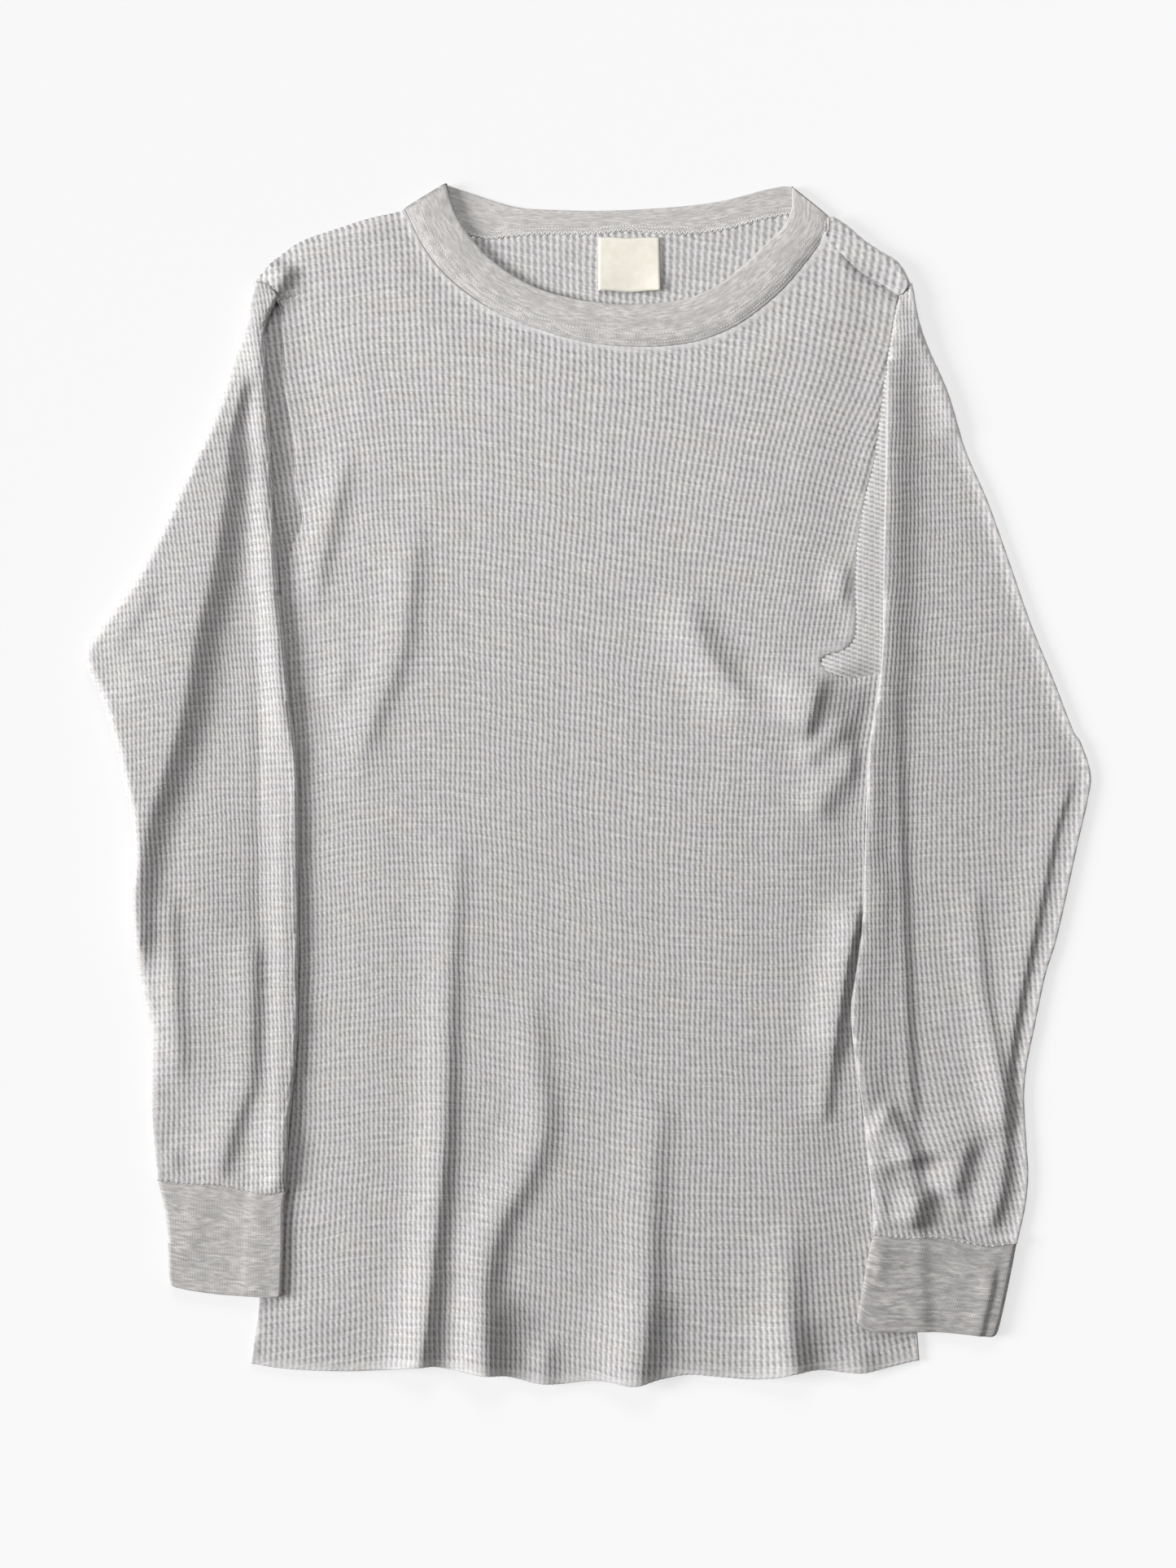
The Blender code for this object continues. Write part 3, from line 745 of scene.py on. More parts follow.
    def _lay_out_bake_map(self, mesh: bpy.types.Mesh) -> None:
        """Lays the parts of the unfolded cloth side by side in the bake's map.

        Args:
            mesh: the piece's mesh.
        """
        flat, islands = np.vstack(self.flat), np.concatenate(self.islands)
        placed = np.zeros_like(flat)
        left = 0.0
        for island in np.unique(islands):
            chosen = islands == island
            low, high = flat[chosen].min(axis=0), flat[chosen].max(axis=0)
            placed[chosen] = flat[chosen] - low + (left + BAKE_MARGIN, BAKE_MARGIN)
            left += high[0] - low[0] + 2 * BAKE_MARGIN
        placed /= max(left, placed[:, 1].max() + BAKE_MARGIN)
        corners = np.zeros(len(mesh.loops), dtype=np.int32)
        mesh.loops.foreach_get("vertex_index", corners)
        layer = mesh.uv_layers.new(name=UV_NAME)
        layer.data.foreach_set("uv", placed[corners].astype(np.float32).reshape(-1))


# -------- node trees


class Tree:
    """A node tree that is built node by node."""

    def __init__(self, tree: bpy.types.NodeTree) -> None:
        """Wraps a tree."""
        self.tree = tree

    def node(self, kind: str, settings: Optional[dict] = None, values: Optional[dict] = None) -> bpy.types.Node:
        """Adds a node: its settings first, then the values or links of its inputs, by name or number.

        Args:
            kind: the node's type.
            settings: its settings by name.
            values: the values or links of its inputs, by name or number.

        Returns:
            The node.
        """
        node = self.tree.nodes.new(kind)
        for name, value in (settings or {}).items():
            setattr(node, name, value)
        for key, value in (values or {}).items():
            self.feed(node.inputs[key], value)
        return node

    def feed(self, socket: bpy.types.NodeSocket, value: object) -> None:
        """Gives an input its link or its value.

        Args:
            socket: the input.
            value: a number in the tree, a socket or a plain value.
        """
        if isinstance(value, Value):
            value = value.socket
        if isinstance(value, bpy.types.NodeSocket):
            self.tree.links.new(value, socket)
        else:
            socket.default_value = value

    def value(self, socket: bpy.types.NodeSocket) -> "Value":
        """A socket as a number that can be reckoned with."""
        return Value(self, socket)

    def parts(self, vector: bpy.types.NodeSocket) -> list["Value"]:
        """The three numbers of a vector."""
        return [Value(self, part) for part in self.node("ShaderNodeSeparateXYZ", {}, {0: vector}).outputs]


class Value:
    """A number in a node tree. Reckoning with it adds Math nodes."""

    def __init__(self, tree: Tree, socket: bpy.types.NodeSocket) -> None:
        """Wraps an output socket."""
        self.tree = tree
        self.socket = socket

    def math(self, operation: str, *others: object, first: object = None) -> "Value":
        """One Math node, with this value as its first input unless another comes before it."""
        inputs = ([first] if first is not None else []) + [self, *others]
        node = self.tree.node("ShaderNodeMath", {"operation": operation}, dict(enumerate(inputs)))
        return Value(self.tree, node.outputs[0])

    def __add__(self, other: object) -> "Value":
        """Sum."""
        return self.math("ADD", other)

    __radd__ = __add__

    def __mul__(self, other: object) -> "Value":
        """Product."""
        return self.math("MULTIPLY", other)

    __rmul__ = __mul__

    def __sub__(self, other: object) -> "Value":
        """Difference."""
        return self.math("SUBTRACT", other)

    def __rsub__(self, other: object) -> "Value":
        """Reflected difference."""
        return self.math("SUBTRACT", first=other)

    def __pow__(self, other: object) -> "Value":
        """Power."""
        return self.math("POWER", other)

    def wave(self) -> "Value":
        """1 at whole numbers and 0 halfway between them, as a cosine."""
        return (self * (2 * math.pi)).math("COSINE") * 0.5 + 0.5

    def between(self, low: float, high: float) -> "Value":
        """0 at low and 1 at high, with level ends."""
        settings = {"interpolation_type": "SMOOTHSTEP"}
        node = self.tree.node("ShaderNodeMapRange", settings, {"Value": self, 1: low, 2: high})
        return Value(self.tree, node.outputs[0])


class ShaderTree(Tree):
    """The nodes of a material."""

    def __init__(self, name: str) -> None:
        """Starts a material with an empty tree."""
        self.material = bpy.data.materials.new(name)
        self.material.use_nodes = True
        self.material.node_tree.nodes.clear()
        super().__init__(self.material.node_tree)

    def blend(self, factor: object, first: object, second: object, kind: str = "MIX") -> bpy.types.NodeSocket:
        """One colour blended over another by a factor."""
        settings = {"data_type": "RGBA", "blend_type": kind, "clamp_factor": True}
        return self.node("ShaderNodeMix", settings, {0: factor, 6: first, 7: second}).outputs[2]

    def scaled(self, place: object, factors: Colour) -> bpy.types.NodeSocket:
        """A place with each of its parts scaled."""
        settings = {"operation": "MULTIPLY"}
        return self.node("ShaderNodeVectorMath", settings, {0: place, 1: factors}).outputs[0]

    def noise(self, place: object, scale: float, detail: float = 2.0, roughness: float = 0.5) -> Value:
        """A noise from 0 to 1 over a place."""
        values = {"Vector": place, "Scale": scale, "Detail": detail, "Roughness": roughness}
        return self.value(self.node("ShaderNodeTexNoise", {}, values).outputs[0])

    def drawn(self, place: object, factors: Colour, detail: float = 2.0, roughness: float = 0.5) -> Value:
        """A noise that is drawn out: the smaller its factor, the longer it is that way."""
        return self.noise(self.scaled(place, factors), 1.0, detail, roughness)

    def knit(self) -> bpy.types.NodeSocket:
        """The knit's own numbers at a place."""
        return self.node("ShaderNodeAttribute", {"attribute_name": KNIT_NAME}).outputs["Vector"]

    def place(self) -> bpy.types.NodeSocket:
        """The place on the piece, in metres."""
        return self.node("ShaderNodeTexCoord").outputs["Object"]

    def finish(
        self, colour: object, roughness: object, bump: Optional[Value], height: float, **fixed: object
    ) -> bpy.types.Material:
        """Ends the material in a Principled shader.

        Args:
            colour: base colour, as a link or a value.
            roughness: the same for roughness.
            bump: a height from 0 to 1, or None for a smooth finish.
            height: how high 1 stands, in millimetres.
            **fixed: values of the shader's other sockets, by name with _ for a space.

        Returns:
            The material.
        """
        values = {"Base Color": colour, "Roughness": roughness}
        values.update({name.replace("_", " "): value for name, value in fixed.items()})
        if bump is not None:
            raised = {"Strength": 1.0, "Distance": height * MM, "Height": bump}
            values["Normal"] = self.node("ShaderNodeBump", {}, raised).outputs[0]
        shader = self.node("ShaderNodeBsdfPrincipled", {}, values)
        self.node("ShaderNodeOutputMaterial", {}, {"Surface": shader.outputs[0]})
        return self.material


def rgb(red: float, green: float, blue: float) -> tuple[float, ...]:
    """A colour from its screen values, 0 to 255."""
    linear = [((c / 255 + 0.055) / 1.055) ** 2.4 for c in (red, green, blue)]
    return (*linear, 1.0)


# -------- finishes


@dataclass(frozen=True)
class WaffleKnit:
    """Light heather grey waffle knit: pits in rows, pale and dark fibres drawn out along the courses, and painted
    shade that darkens the valleys between its ribs and, most of all, its pits.
    """

    name: str = "waffle_knit"
    pale: Colour = (218, 216.5, 214.5)
    dark: Colour = (194, 192.5, 191.5)
    fibre: Colour = (146, 144, 146)
    # painted shade multiplied into the colour: pit into the waffle's pits, bridge all along the valleys between the
    # ribs
    pit: Colour = (208, 207, 207)
    bridge: Colour = (206, 205, 205)
    cool: Colour = (206, 198, 214)
    warm: Colour = (222, 210, 196)
    wale_pitch: float = 3.2
    course_pitch: float = 4.85

    def material(self) -> bpy.types.Material:
        """Builds the material.

        Returns:
            The material.
        """
        tree = ShaderTree(self.name)
        knit = tree.knit()
        wale, course, amount = tree.parts(knit)
        place = tree.scaled(knit, (self.wale_pitch, self.course_pitch, 0.0))
        streak = tree.drawn(place, (0.085, 0.75, 1.0), 3.0, 0.6)
        long_streak = tree.drawn(place, (0.018, 0.33, 1.0), 2.0, 0.6)
        speck = tree.drawn(place, (0.45, 2.4, 1.0), 2.0, 0.7)
        cloud = tree.noise(place, 0.06, 2.0)
        warmth = tree.drawn(place, (0.03, 0.09, 1.0))
        lean = (course * (2 * math.pi)).math("SINE") * 0.06
        patch = tree.drawn(knit, (0.9, 0.9, 0.0), 1.0)
        wobble = tree.drawn(knit, (0.8, 1.7, 0.0), 1.0)
        column = wale + lean + (wobble - 0.5) * 0.22
        valley = 1 - column.wave()
        # mask of the painted shade in the pits, patchy from pit to pit
        pit = valley**1.3 * course.wave() ** 1.4 * amount * patch.between(0.15, 0.62)
        shade = tree.blend(streak.between(0.34, 0.66), rgb(*self.dark), rgb(*self.pale))
        shade = tree.blend(long_streak.between(0.58, 0.40) * 0.36, shade, rgb(*self.dark))
        shade = tree.blend(speck.between(0.58, 0.76) * 0.46, shade, rgb(*self.fibre))
        shade = tree.blend(cloud.between(0.42, 0.66) * 0.17, shade, rgb(*self.cool))
        shade = tree.blend(warmth.between(0.45, 0.68) * 0.08, shade, rgb(*self.warm))
        # painted shade: the valleys between the ribs are darkened, and the pits darker still, where the relief is
        # shaded
        shade = tree.blend(valley * amount, shade, rgb(*self.bridge), "MULTIPLY")
        shade = tree.blend(pit, shade, rgb(*self.pit), "MULTIPLY")
        rib = column.wave() ** 0.7
        bead = (course * 2 + 0.25).wave() * rib
        yarn = tree.drawn(place, (2.2, 1.3, 1.0), 3.0, 0.65)
        bump = bead * 0.16 + yarn * 0.45
        roughness = 0.96 - speck * 0.08
        return tree.finish(shade, roughness, bump, 0.5, Specular_IOR_Level=0.18, Sheen_Weight=0.12,
                           Sheen_Roughness=0.6)


@dataclass(frozen=True)
class BandJersey:
    """Doubled jersey of the neckband and cuffs: fine wales across the band, heather streaks along it."""

    name: str = "band_jersey"
    pale: Colour = (210, 207, 204.5)
    dark: Colour = (167, 164.5, 163)
    fibre: Colour = (126, 124, 125)
    # painted shade multiplied into the grooves between the wales
    painted_groove_shade: Colour = (150, 148, 147)
    wale_pitch: float = 0.95

    def material(self) -> bpy.types.Material:
        """Builds the material. The knit attribute holds millimetres along and across the band, and how much of the
        jersey's brightness a painted shade leaves.

        Returns:
            The material.
        """
        tree = ShaderTree(self.name)
        place = tree.knit()
        along, _, shade_keep = tree.parts(place)
        streak = tree.drawn(place, (0.17, 0.75, 0.0), 3.0, 0.6)
        wide = tree.drawn(place, (0.06, 0.2, 0.0))
        speck = tree.drawn(place, (1.1, 2.6, 0.0), 2.0, 0.7)
        shade = tree.blend(streak.between(0.28, 0.70), rgb(*self.dark), rgb(*self.pale))
        shade = tree.blend(wide.between(0.60, 0.36) * 0.45, shade, rgb(*self.dark))
        shade = tree.blend(speck.between(0.58, 0.76) * 0.45, shade, rgb(*self.fibre))
        wales = (along * (1 / self.wale_pitch)).wave()
        # painted shade in the grooves between the wales
        shade = tree.blend((1 - wales) * 0.16, shade, rgb(*self.painted_groove_shade), "MULTIPLY")
        blotch = tree.drawn(place, (0.05, 0.42, 0.0), 3.0, 0.6).between(0.36, 0.64)
        # painted shade for the light's falloff over a cuff, laid on in mottled blotches; none where the third number
        # is 1
        shade = tree.blend((1 - shade_keep) * (0.3 + blotch * 1.9), shade, rgb(0, 0, 0))
        fuzz = tree.drawn(place, (2.6, 2.2, 0.0), 3.0, 0.6)
        bump = wales * 0.5 + fuzz * 0.5
        return tree.finish(shade, 0.95 - speck * 0.06, bump, 0.14, Specular_IOR_Level=0.18,
                           Sheen_Weight=0.12, Sheen_Roughness=0.6)


@dataclass(frozen=True)
class LabelWeave:
    """Cream woven label, blank, with fine ribs across it and painted shade between them."""

    name: str = "label_weave"
    pale: Colour = (228, 224, 213)
    dark: Colour = (221, 216, 203)
    # painted shade multiplied into the dips between the ribs
    painted_groove_shade: Colour = (180, 172, 156)

    def material(self) -> bpy.types.Material:
        """Builds the material on object coordinates.

        Returns:
            The material.
        """
        tree = ShaderTree(self.name)
        millimetres = tree.scaled(tree.place(), (1 / MM, 1 / MM, 0.0))
        across, up, _ = tree.parts(millimetres)
        ribs = (up * 2.2).wave() * 0.6 + (across * 2.8).wave() * 0.4
        stain = tree.noise(millimetres, 0.16, 3.0)
        shade = tree.blend(stain.between(0.3, 0.7), rgb(*self.pale), rgb(*self.dark))
        # painted shade between the ribs
        shade = tree.blend((1 - ribs) * 0.12, shade, rgb(*self.painted_groove_shade), "MULTIPLY")
        return tree.finish(shade, 0.72 + stain * 0.1, ribs, 0.06, Specular_IOR_Level=0.3,
                           Sheen_Weight=0.1)


@dataclass(frozen=True)
class SewingThread:
    """Spun thread of one colour with a slight twist."""

    name: str = "sewing_thread"
    pale: Colour = (221, 219, 214)
    dark: Colour = (172, 170, 168)

    def material(self) -> bpy.types.Material:
        """Builds the material on object coordinates.

        Returns:
            The material.
        """
        tree = ShaderTree(self.name)
        twist = tree.noise(tree.place(), 2600.0)
        shade = tree.blend(twist.between(0.35, 0.7) * 0.5, rgb(*self.pale), rgb(*self.dark))
        return tree.finish(shade, 0.85 + twist * 0.1, twist, 0.05, Specular_IOR_Level=0.25)


@dataclass(frozen=True)
class Softbox:
    """A round softbox, up to one side, aimed at the middle of the top."""

    name: str
    power: float
    size: float
    distance: float
    from_zenith: float
    heading: float  # where it comes from, anticlockwise from +X

    def place(self) -> Vector:
        """Where it stands."""
        tilt, heading = math.radians(self.from_zenith), math.radians(self.heading)
        return self.distance * Vector((math.sin(tilt) * math.cos(heading), math.sin(tilt) * math.sin(heading),
                                       math.cos(tilt)))

    def build(self) -> None:
        """Builds the light."""
        light = bpy.data.lights.new(self.name, "AREA")
        light.shape, light.size, light.energy = "DISK", self.size, self.power
        lamp = put(self.name, light)
        lamp.location = self.place()
        lamp.rotation_euler = lamp.location.to_track_quat("Z", "Y").to_euler()

    def light_on(self, x: Value, y: Value) -> Value:
        """The brightness that it gives a white surface under it.

        Args:
            x, y: the place on the surface, in metres.

        Returns:
            The brightness there.
        """
        source, reach = self.place(), self.distance
        off_x, off_y = x - source.x, y - source.y
        squared = off_x * off_x + off_y * off_y + source.z**2
        facing = reach - (x * (source.x / reach) + y * (source.y / reach))
        direct = facing * (self.power * source.z / math.pi**2)
        return direct.math("DIVIDE", squared * squared)


@dataclass(frozen=True)
class TableTop:
    """The pale surface that the top lies on, which looks even although the light on it falls off.

    Part of its brightness is its own, so that shadows on it stay faint.
    """

    lights: Sequence[Softbox]
    ambient: float
    name: str = "table_top"
    shown: float = 0.956
    own: float = 0.68

    def material(self) -> bpy.types.Material:
        """Builds the material on object coordinates.

        Returns:
            The material.
        """
        tree = ShaderTree(self.name)
        x, y, _ = tree.parts(tree.place())
        light = sum((lamp.light_on(x, y) for lamp in self.lights), self.ambient)
        needed = light.math("DIVIDE", first=self.shown - self.own).math("MINIMUM", 0.98)
        black, white = (0.0, 0.0, 0.0, 1.0), (1.0, 1.0, 1.0, 1.0)
        colour = tree.blend(needed, black, white)
        return tree.finish(colour, 1.0, None, 0.0, Specular_IOR_Level=0.0, Emission_Color=white,
                           Emission_Strength=self.own)


# -------- relief and stitches by Geometry Nodes


def run_nodes(piece: bpy.types.Object, tree: bpy.types.NodeTree, inputs: dict[str, object]) -> bpy.types.Object:
    """Runs a node tree on a piece and keeps the result as the plain mesh of a new piece of the same name.

    Args:
        piece: the object that the tree works on, which is removed.
        tree: the Geometry Nodes tree.
        inputs: the values of its named inputs.

    Returns:
        The new piece.
    """
    modifier = piece.modifiers.new("nodes", "NODES")
    modifier.node_group = tree
    for item in tree.interface.items_tree:
        if item.item_type == "SOCKET" and item.in_out == "INPUT" and item.name in inputs:
            modifier[item.identifier] = inputs[item.name]
    bpy.context.view_layer.update()
    evaluated = piece.evaluated_get(bpy.context.evaluated_depsgraph_get())
    mesh = bpy.data.meshes.new_from_object(evaluated, preserve_all_data_layers=True,
                                           depsgraph=bpy.context.evaluated_depsgraph_get())
    name = piece.name
    piece.modifiers.remove(modifier)
    bpy.data.objects.remove(piece, do_unlink=True)
    mesh.name = name
    return put(name, mesh)


class GeometryTree(Tree):
    """A Geometry Nodes tree with named inputs that ends in Realize Instances and Set Material."""

    def __init__(self, name: str, inputs: dict[str, str]) -> None:
        """Starts the tree with a geometry input, the named ones and a material.

        Args:
            name: the tree's name.
            inputs: socket type of each named input. A material comes after them.
        """
        group = bpy.data.node_groups.new(name, "GeometryNodeTree")
        super().__init__(group)
        group.interface.new_socket("Geometry", in_out="INPUT", socket_type="NodeSocketGeometry")
        for label, kind in {**inputs, "Material": "NodeSocketMaterial"}.items():
            group.interface.new_socket(label, in_out="INPUT", socket_type=kind)
        group.interface.new_socket("Geometry", in_out="OUTPUT", socket_type="NodeSocketGeometry")
        self.input = self.node("NodeGroupInput")

    def number(self, label: str) -> Value:
        """A named input as a number."""
        return self.value(self.input.outputs[label])

    def end(self, geometry: bpy.types.NodeSocket) -> bpy.types.NodeTree:
        """Ends the tree.

        Args:
            geometry: what the tree has made.

        Returns:
            The finished tree.
        """
        real = self.node("GeometryNodeRealizeInstances", {}, {0: geometry}).outputs[0]
        values = {"Geometry": real, "Material": self.input.outputs["Material"]}
        dressed = self.node("GeometryNodeSetMaterial", {}, values).outputs[0]
        self.node("NodeGroupOutput", {}, {0: dressed})
        return self.tree


def relief_tree() -> bpy.types.NodeTree:
    """The tree that presses the pits of the waffle into a sheet and rounds its ribs.

    Returns:
        The tree.
    """
    inputs = {name: "NodeSocketFloat" for name in ("Pit Depth", "Bridge Depth", "Unevenness")}
    tree = GeometryTree("waffle_relief", inputs)
    knit = tree.node("GeometryNodeInputNamedAttribute", {"data_type": "FLOAT_VECTOR"}, {"Name": KNIT_NAME})
    wale, course, amount = tree.parts(knit.outputs[0])
    valley = 1 - wale.wave()
    bridge = tree.number("Bridge Depth")
    deep = bridge + (tree.number("Pit Depth") - bridge) * course.wave()
    hand = tree.node("ShaderNodeTexNoise", {}, {"Scale": 260.0, "Detail": 1.0}).outputs[0]
    uneven = 1 + (tree.value(hand) - 0.5) * tree.number("Unevenness")
    depth = valley * deep * amount * uneven
    normal = tree.node("GeometryNodeInputNormal").outputs[0]
    scale = {"operation": "SCALE"}
    push = tree.node("ShaderNodeVectorMath", scale, {0: normal, "Scale": depth * -MM}).outputs[0]
    moved = {"Geometry": tree.input.outputs["Geometry"], "Offset": push}
    return tree.end(tree.node("GeometryNodeSetPosition", {}, moved).outputs[0])


@dataclass(frozen=True)
class WaffleRelief:
    """Depths of the waffle's relief, in millimetres."""

    pit: float = 1.12
    bridge: float = 0.98
    unevenness: float = 0.5

    def press(self, piece: bpy.types.Object, material: bpy.types.Material) -> bpy.types.Object:
        """Presses the relief into a piece and gives it its material.

        Args:
            piece: the piece, which is removed.
            material: its material.

        Returns:
            The piece with its relief.
        """
        tree = bpy.data.node_groups.get("waffle_relief") or relief_tree()
        inputs = {"Pit Depth": self.pit, "Bridge Depth": self.bridge, "Unevenness": self.unevenness}
        return run_nodes(piece, tree, {**inputs, "Material": material})


def stitch_tree() -> bpy.types.NodeTree:
    """The tree that lays stitches along the edges of a mesh.

    Returns:
        The tree.
    """
    names = ("Pitch", "Length", "Thickness", "Turn", "Uneven Turn")
    tree = GeometryTree("stitch_row", {name: "NodeSocketFloat" for name in names})
    line = tree.node("GeometryNodeMeshToCurve", {}, {0: tree.input.outputs["Geometry"]}).outputs[0]
    along = {"Curve": line, "Length": tree.number("Pitch")}
    stops = tree.node("GeometryNodeResampleCurve", {"mode": "LENGTH"}, along).outputs[0]
    tangent = tree.node("GeometryNodeInputTangent").outputs[0]
    aimed = tree.node("FunctionNodeAlignEulerToVector", {"axis": "X"}, {"Vector": tangent}).outputs[0]
    alternate = tree.value(tree.node("GeometryNodeInputIndex").outputs[0]).math("MODULO", 2.0) * 2 - 1
    chance = tree.node("FunctionNodeRandomValue", {"data_type": "FLOAT"}, {2: -1.0, 3: 1.0, "Seed": SEED})
    spin = alternate * tree.number("Turn") + tree.value(chance.outputs[1]) * tree.number("Uneven Turn")
    turn = tree.node("ShaderNodeCombineXYZ", {}, {2: spin}).outputs[0]
    turned = tree.node("FunctionNodeRotateEuler", {"space": "LOCAL"}, {0: aimed, 1: turn}).outputs[0]
    ball = tree.node("GeometryNodeMeshUVSphere", {}, {"Segments": 6, "Rings": 5, "Radius": 0.5}).outputs[0]
    size = {0: tree.number("Length"), 1: tree.number("Thickness"), 2: tree.number("Thickness")}
    scale = tree.node("ShaderNodeCombineXYZ", {}, size).outputs[0]
    placed = {"Points": stops, "Instance": ball, "Rotation": turned, "Scale": scale}
    return tree.end(tree.node("GeometryNodeInstanceOnPoints", {}, placed).outputs[0])


@dataclass(frozen=True)
class StitchRow:
    """One row of stitches along a line, in millimetres and degrees."""

    line: Array
    pitch: float = 2.6
    length: float = 2.3
    thickness: float = 0.42
    turn: float = 0.0
    uneven: float = 6.0

    def lay(self, name: str, material: bpy.types.Material) -> bpy.types.Object:
        """Lays the row as a piece of its own.

        Args:
            name: the piece's name.
            material: the material of the thread.

        Returns:
            The piece.
        """
        mesh = bpy.data.meshes.new(name)
        edges = [(i, i + 1) for i in range(len(self.line) - 1)]
        mesh.from_pydata(self.line * MM, edges, [])
        path = put(name, mesh)
        tree = bpy.data.node_groups.get("stitch_row") or stitch_tree()
        sizes = {"Pitch": self.pitch * MM, "Length": self.length * MM, "Thickness": self.thickness * MM}
        turns = {"Turn": math.radians(self.turn), "Uneven Turn": math.radians(self.uneven)}
        return run_nodes(path, tree, {**sizes, **turns, "Material": material})


def join_pieces(name: str, parts: Sequence[bpy.types.Object]) -> bpy.types.Object:
    """Joins meshes with the same material into one piece.

    Args:
        name: the new piece's name.
        parts: the meshes, which are removed.

    Returns:
        The new piece.
    """
    bm = bmesh.new()
    for part in parts:
        bm.from_mesh(part.data)
    mesh = bpy.data.meshes.new(name)
    bm.to_mesh(mesh)
    bm.free()
    mesh.materials.append(parts[0].data.materials[0])
    mesh.shade_smooth()
    for part in parts:
        bpy.data.objects.remove(part, do_unlink=True)
    return put(name, mesh)


# -------- lines that pieces share

HEM = [
    (-200, -342), (-180, -345), (-146, -346.5), (-119, -345.5), (-105, -343.5), (-94, -343), (-84, -344.5),
    (-65, -347.5), (-51, -348.5), (-42, -350.5), (-31, -353.5), (-18, -354), (-2, -352), (10, -352),
    (21, -354), (29, -354), (42, -351), (59, -348.5), (73, -349.5), (93, -351), (108, -350), (122, -347),
    (136, -345.5), (150, -347), (162, -347.5), (174, -345), (186, -342), (195, -340),
]
LEFT_SIDE = [(195, -340), (192, -300), (190, -258), (184, -162), (180, -66), (177, 18), (176, 45), (174, 68)]
LEFT_ARMHOLE = [
    (174, 66), (166, 65), (158, 63), (148, 64), (139.5, 68), (136.5, 73), (141.5, 76.5), (150, 79), (156, 85),
    (158, 96), (158, 117), (159.5, 138), (164, 166), (170.5, 194), (176, 236), (181, 268), (184.5, 288.5),
]
LEFT_SHOULDER = [(184.5, 288.5), (173, 296.6), (162, 303), (150, 314), (140.5, 325)]
NECKLINE = [
    (-108, 339.4), (-97.5, 318.2), (-85.5, 302.4), (-69, 288.5), (-51.5, 277.9), (-31.7, 269.8),
    (-11.5, 263.5), (10, 259.7), (38, 258.7), (62, 261.6), (82, 268.8), (98, 278.9), (114, 292.8),
    (126, 306.7), (133.5, 316.3), (140.5, 325.4),
]
RIGHT_SHOULDER = [
    (-108, 339.4), (-116, 337.4), (-132.5, 333.6), (-147, 328.8), (-162, 324), (-172, 319.7), (-181.5, 313),
    (-188.6, 306.7), (-195.4, 298.6), (-199, 293.3),
]
RIGHT_ARMHOLE = [
    (-182, 114), (-180, 123.4), (-177, 135.4), (-173.5, 145), (-170, 153), (-170.5, 163), (-173.3, 173),
    (-174.2, 189), (-175.2, 204), (-177.6, 213), (-180, 232.3), (-183.8, 285), (-190.6, 291.4), (-199, 293.3),
]
RIGHT_SIDE = [
    (-182, 114), (-183, 97), (-184, 40), (-188, -66), (-190, -162), (-193, -258), (-195, -304), (-200, -342),
]
BACK_NECKLINE = [
    (-108, 339.4), (-88, 331), (-63, 322.5), (-47.5, 323.5), (-27, 325), (2, 325), (22, 327), (42, 325.4),
    (62, 325.4), (82, 328.3), (102, 333.6), (119, 336.5), (141, 335),
]
LEFT_SHOULDER_FOLD = [
    (119.5, 352.3), (129.6, 346.6), (140, 337), (151.7, 329.8), (161.3, 321.6), (171, 314.9), (181.4, 308.6),
    (187.2, 300.5), (189.7, 293.4),
]
FRONT_BAND_EDGE = [
    (-84.5, 353.8), (-82, 344.2), (-77.3, 332.6), (-69, 320.6), (-57.6, 308.6), (-41.3, 297.6),
    (-25.4, 290.4), (-6, 285.6), (18, 282.7), (42, 283.7), (62, 287.5), (78, 295.7), (93.6, 308.6),
    (105.6, 319.7), (115.7, 330.2), (119.5, 340),
]
BACK_BAND_EDGE = [
    (-84.5, 353.8), (-71.5, 349.4), (-51.4, 342.7), (-37.4, 339.8), (-18, 338.9), (2.4, 338.4),
    (32, 339.4), (62, 341.8), (82, 345.1), (102, 350.4), (114, 352.8), (119.5, 352.3),
]
# where the front's folds end, at the sleeves and their seams
RIGHT_LIMIT = [
    (-206, -360), (-203, -316), (-178, -300), (-174, -240), (-168, -150), (-167, -20), (-168, 16), (-171.5, 49),
    (-175, 80), (-178, 106), (-178.5, 120), (-174, 138), (-168, 153), (-169.5, 165), (-171.5, 190),
    (-177, 232), (-182, 285), (-199, 293),
]
LEFT_LIMIT = [
    (203, -360), (198, -338), (155, -322), (161, -265), (161, -235), (158, -184), (155.5, -133), (158.5, -66),
    (162, -18), (162.5, 20), (164, 39), (168, 52), (168, 64), (157, 74), (158, 96), (158, 117), (163, 160),
    (176, 236), (184, 288),
]
# part of the back panel's inside that shows through the neck
BACK_WINDOW = [(-112, 345), (-112, 300), (-60, 255), (30, 240), (110, 262), (150, 300), (150, 345)]


def beside(table: Table, distance: float) -> list[tuple[float, float]]:
    """A line moved to its left-hand side.

    Args:
        table: the line's points.
        distance: how far it moves, to the right if below 0.

    Returns:
        The new line's points.
    """
    points = np.array(table, dtype=float)
    heading = np.gradient(points, axis=0)
    heading /= np.hypot(*heading.T)[:, None]
    return [tuple(p) for p in points + distance * np.column_stack([-heading[:, 1], heading[:, 0]])]


STRIP_EDGE = beside(LEFT_SHOULDER, 2.2)  # of the back panel's strip that lies forward of the left shoulder


def register(piece: bpy.types.Object, nodes: Sequence[str] = ()) -> None:
    """Makes a piece ride on the top's one body and in place of its solids.

    Args:
        piece: the piece.
        nodes: the solids that it stands for, none for one that has no solid.
    """
    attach(piece, "root")
    if nodes:
        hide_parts(*nodes)
    log.info("%s: %d faces", piece.name, len(piece.data.polygons))


# -------- body

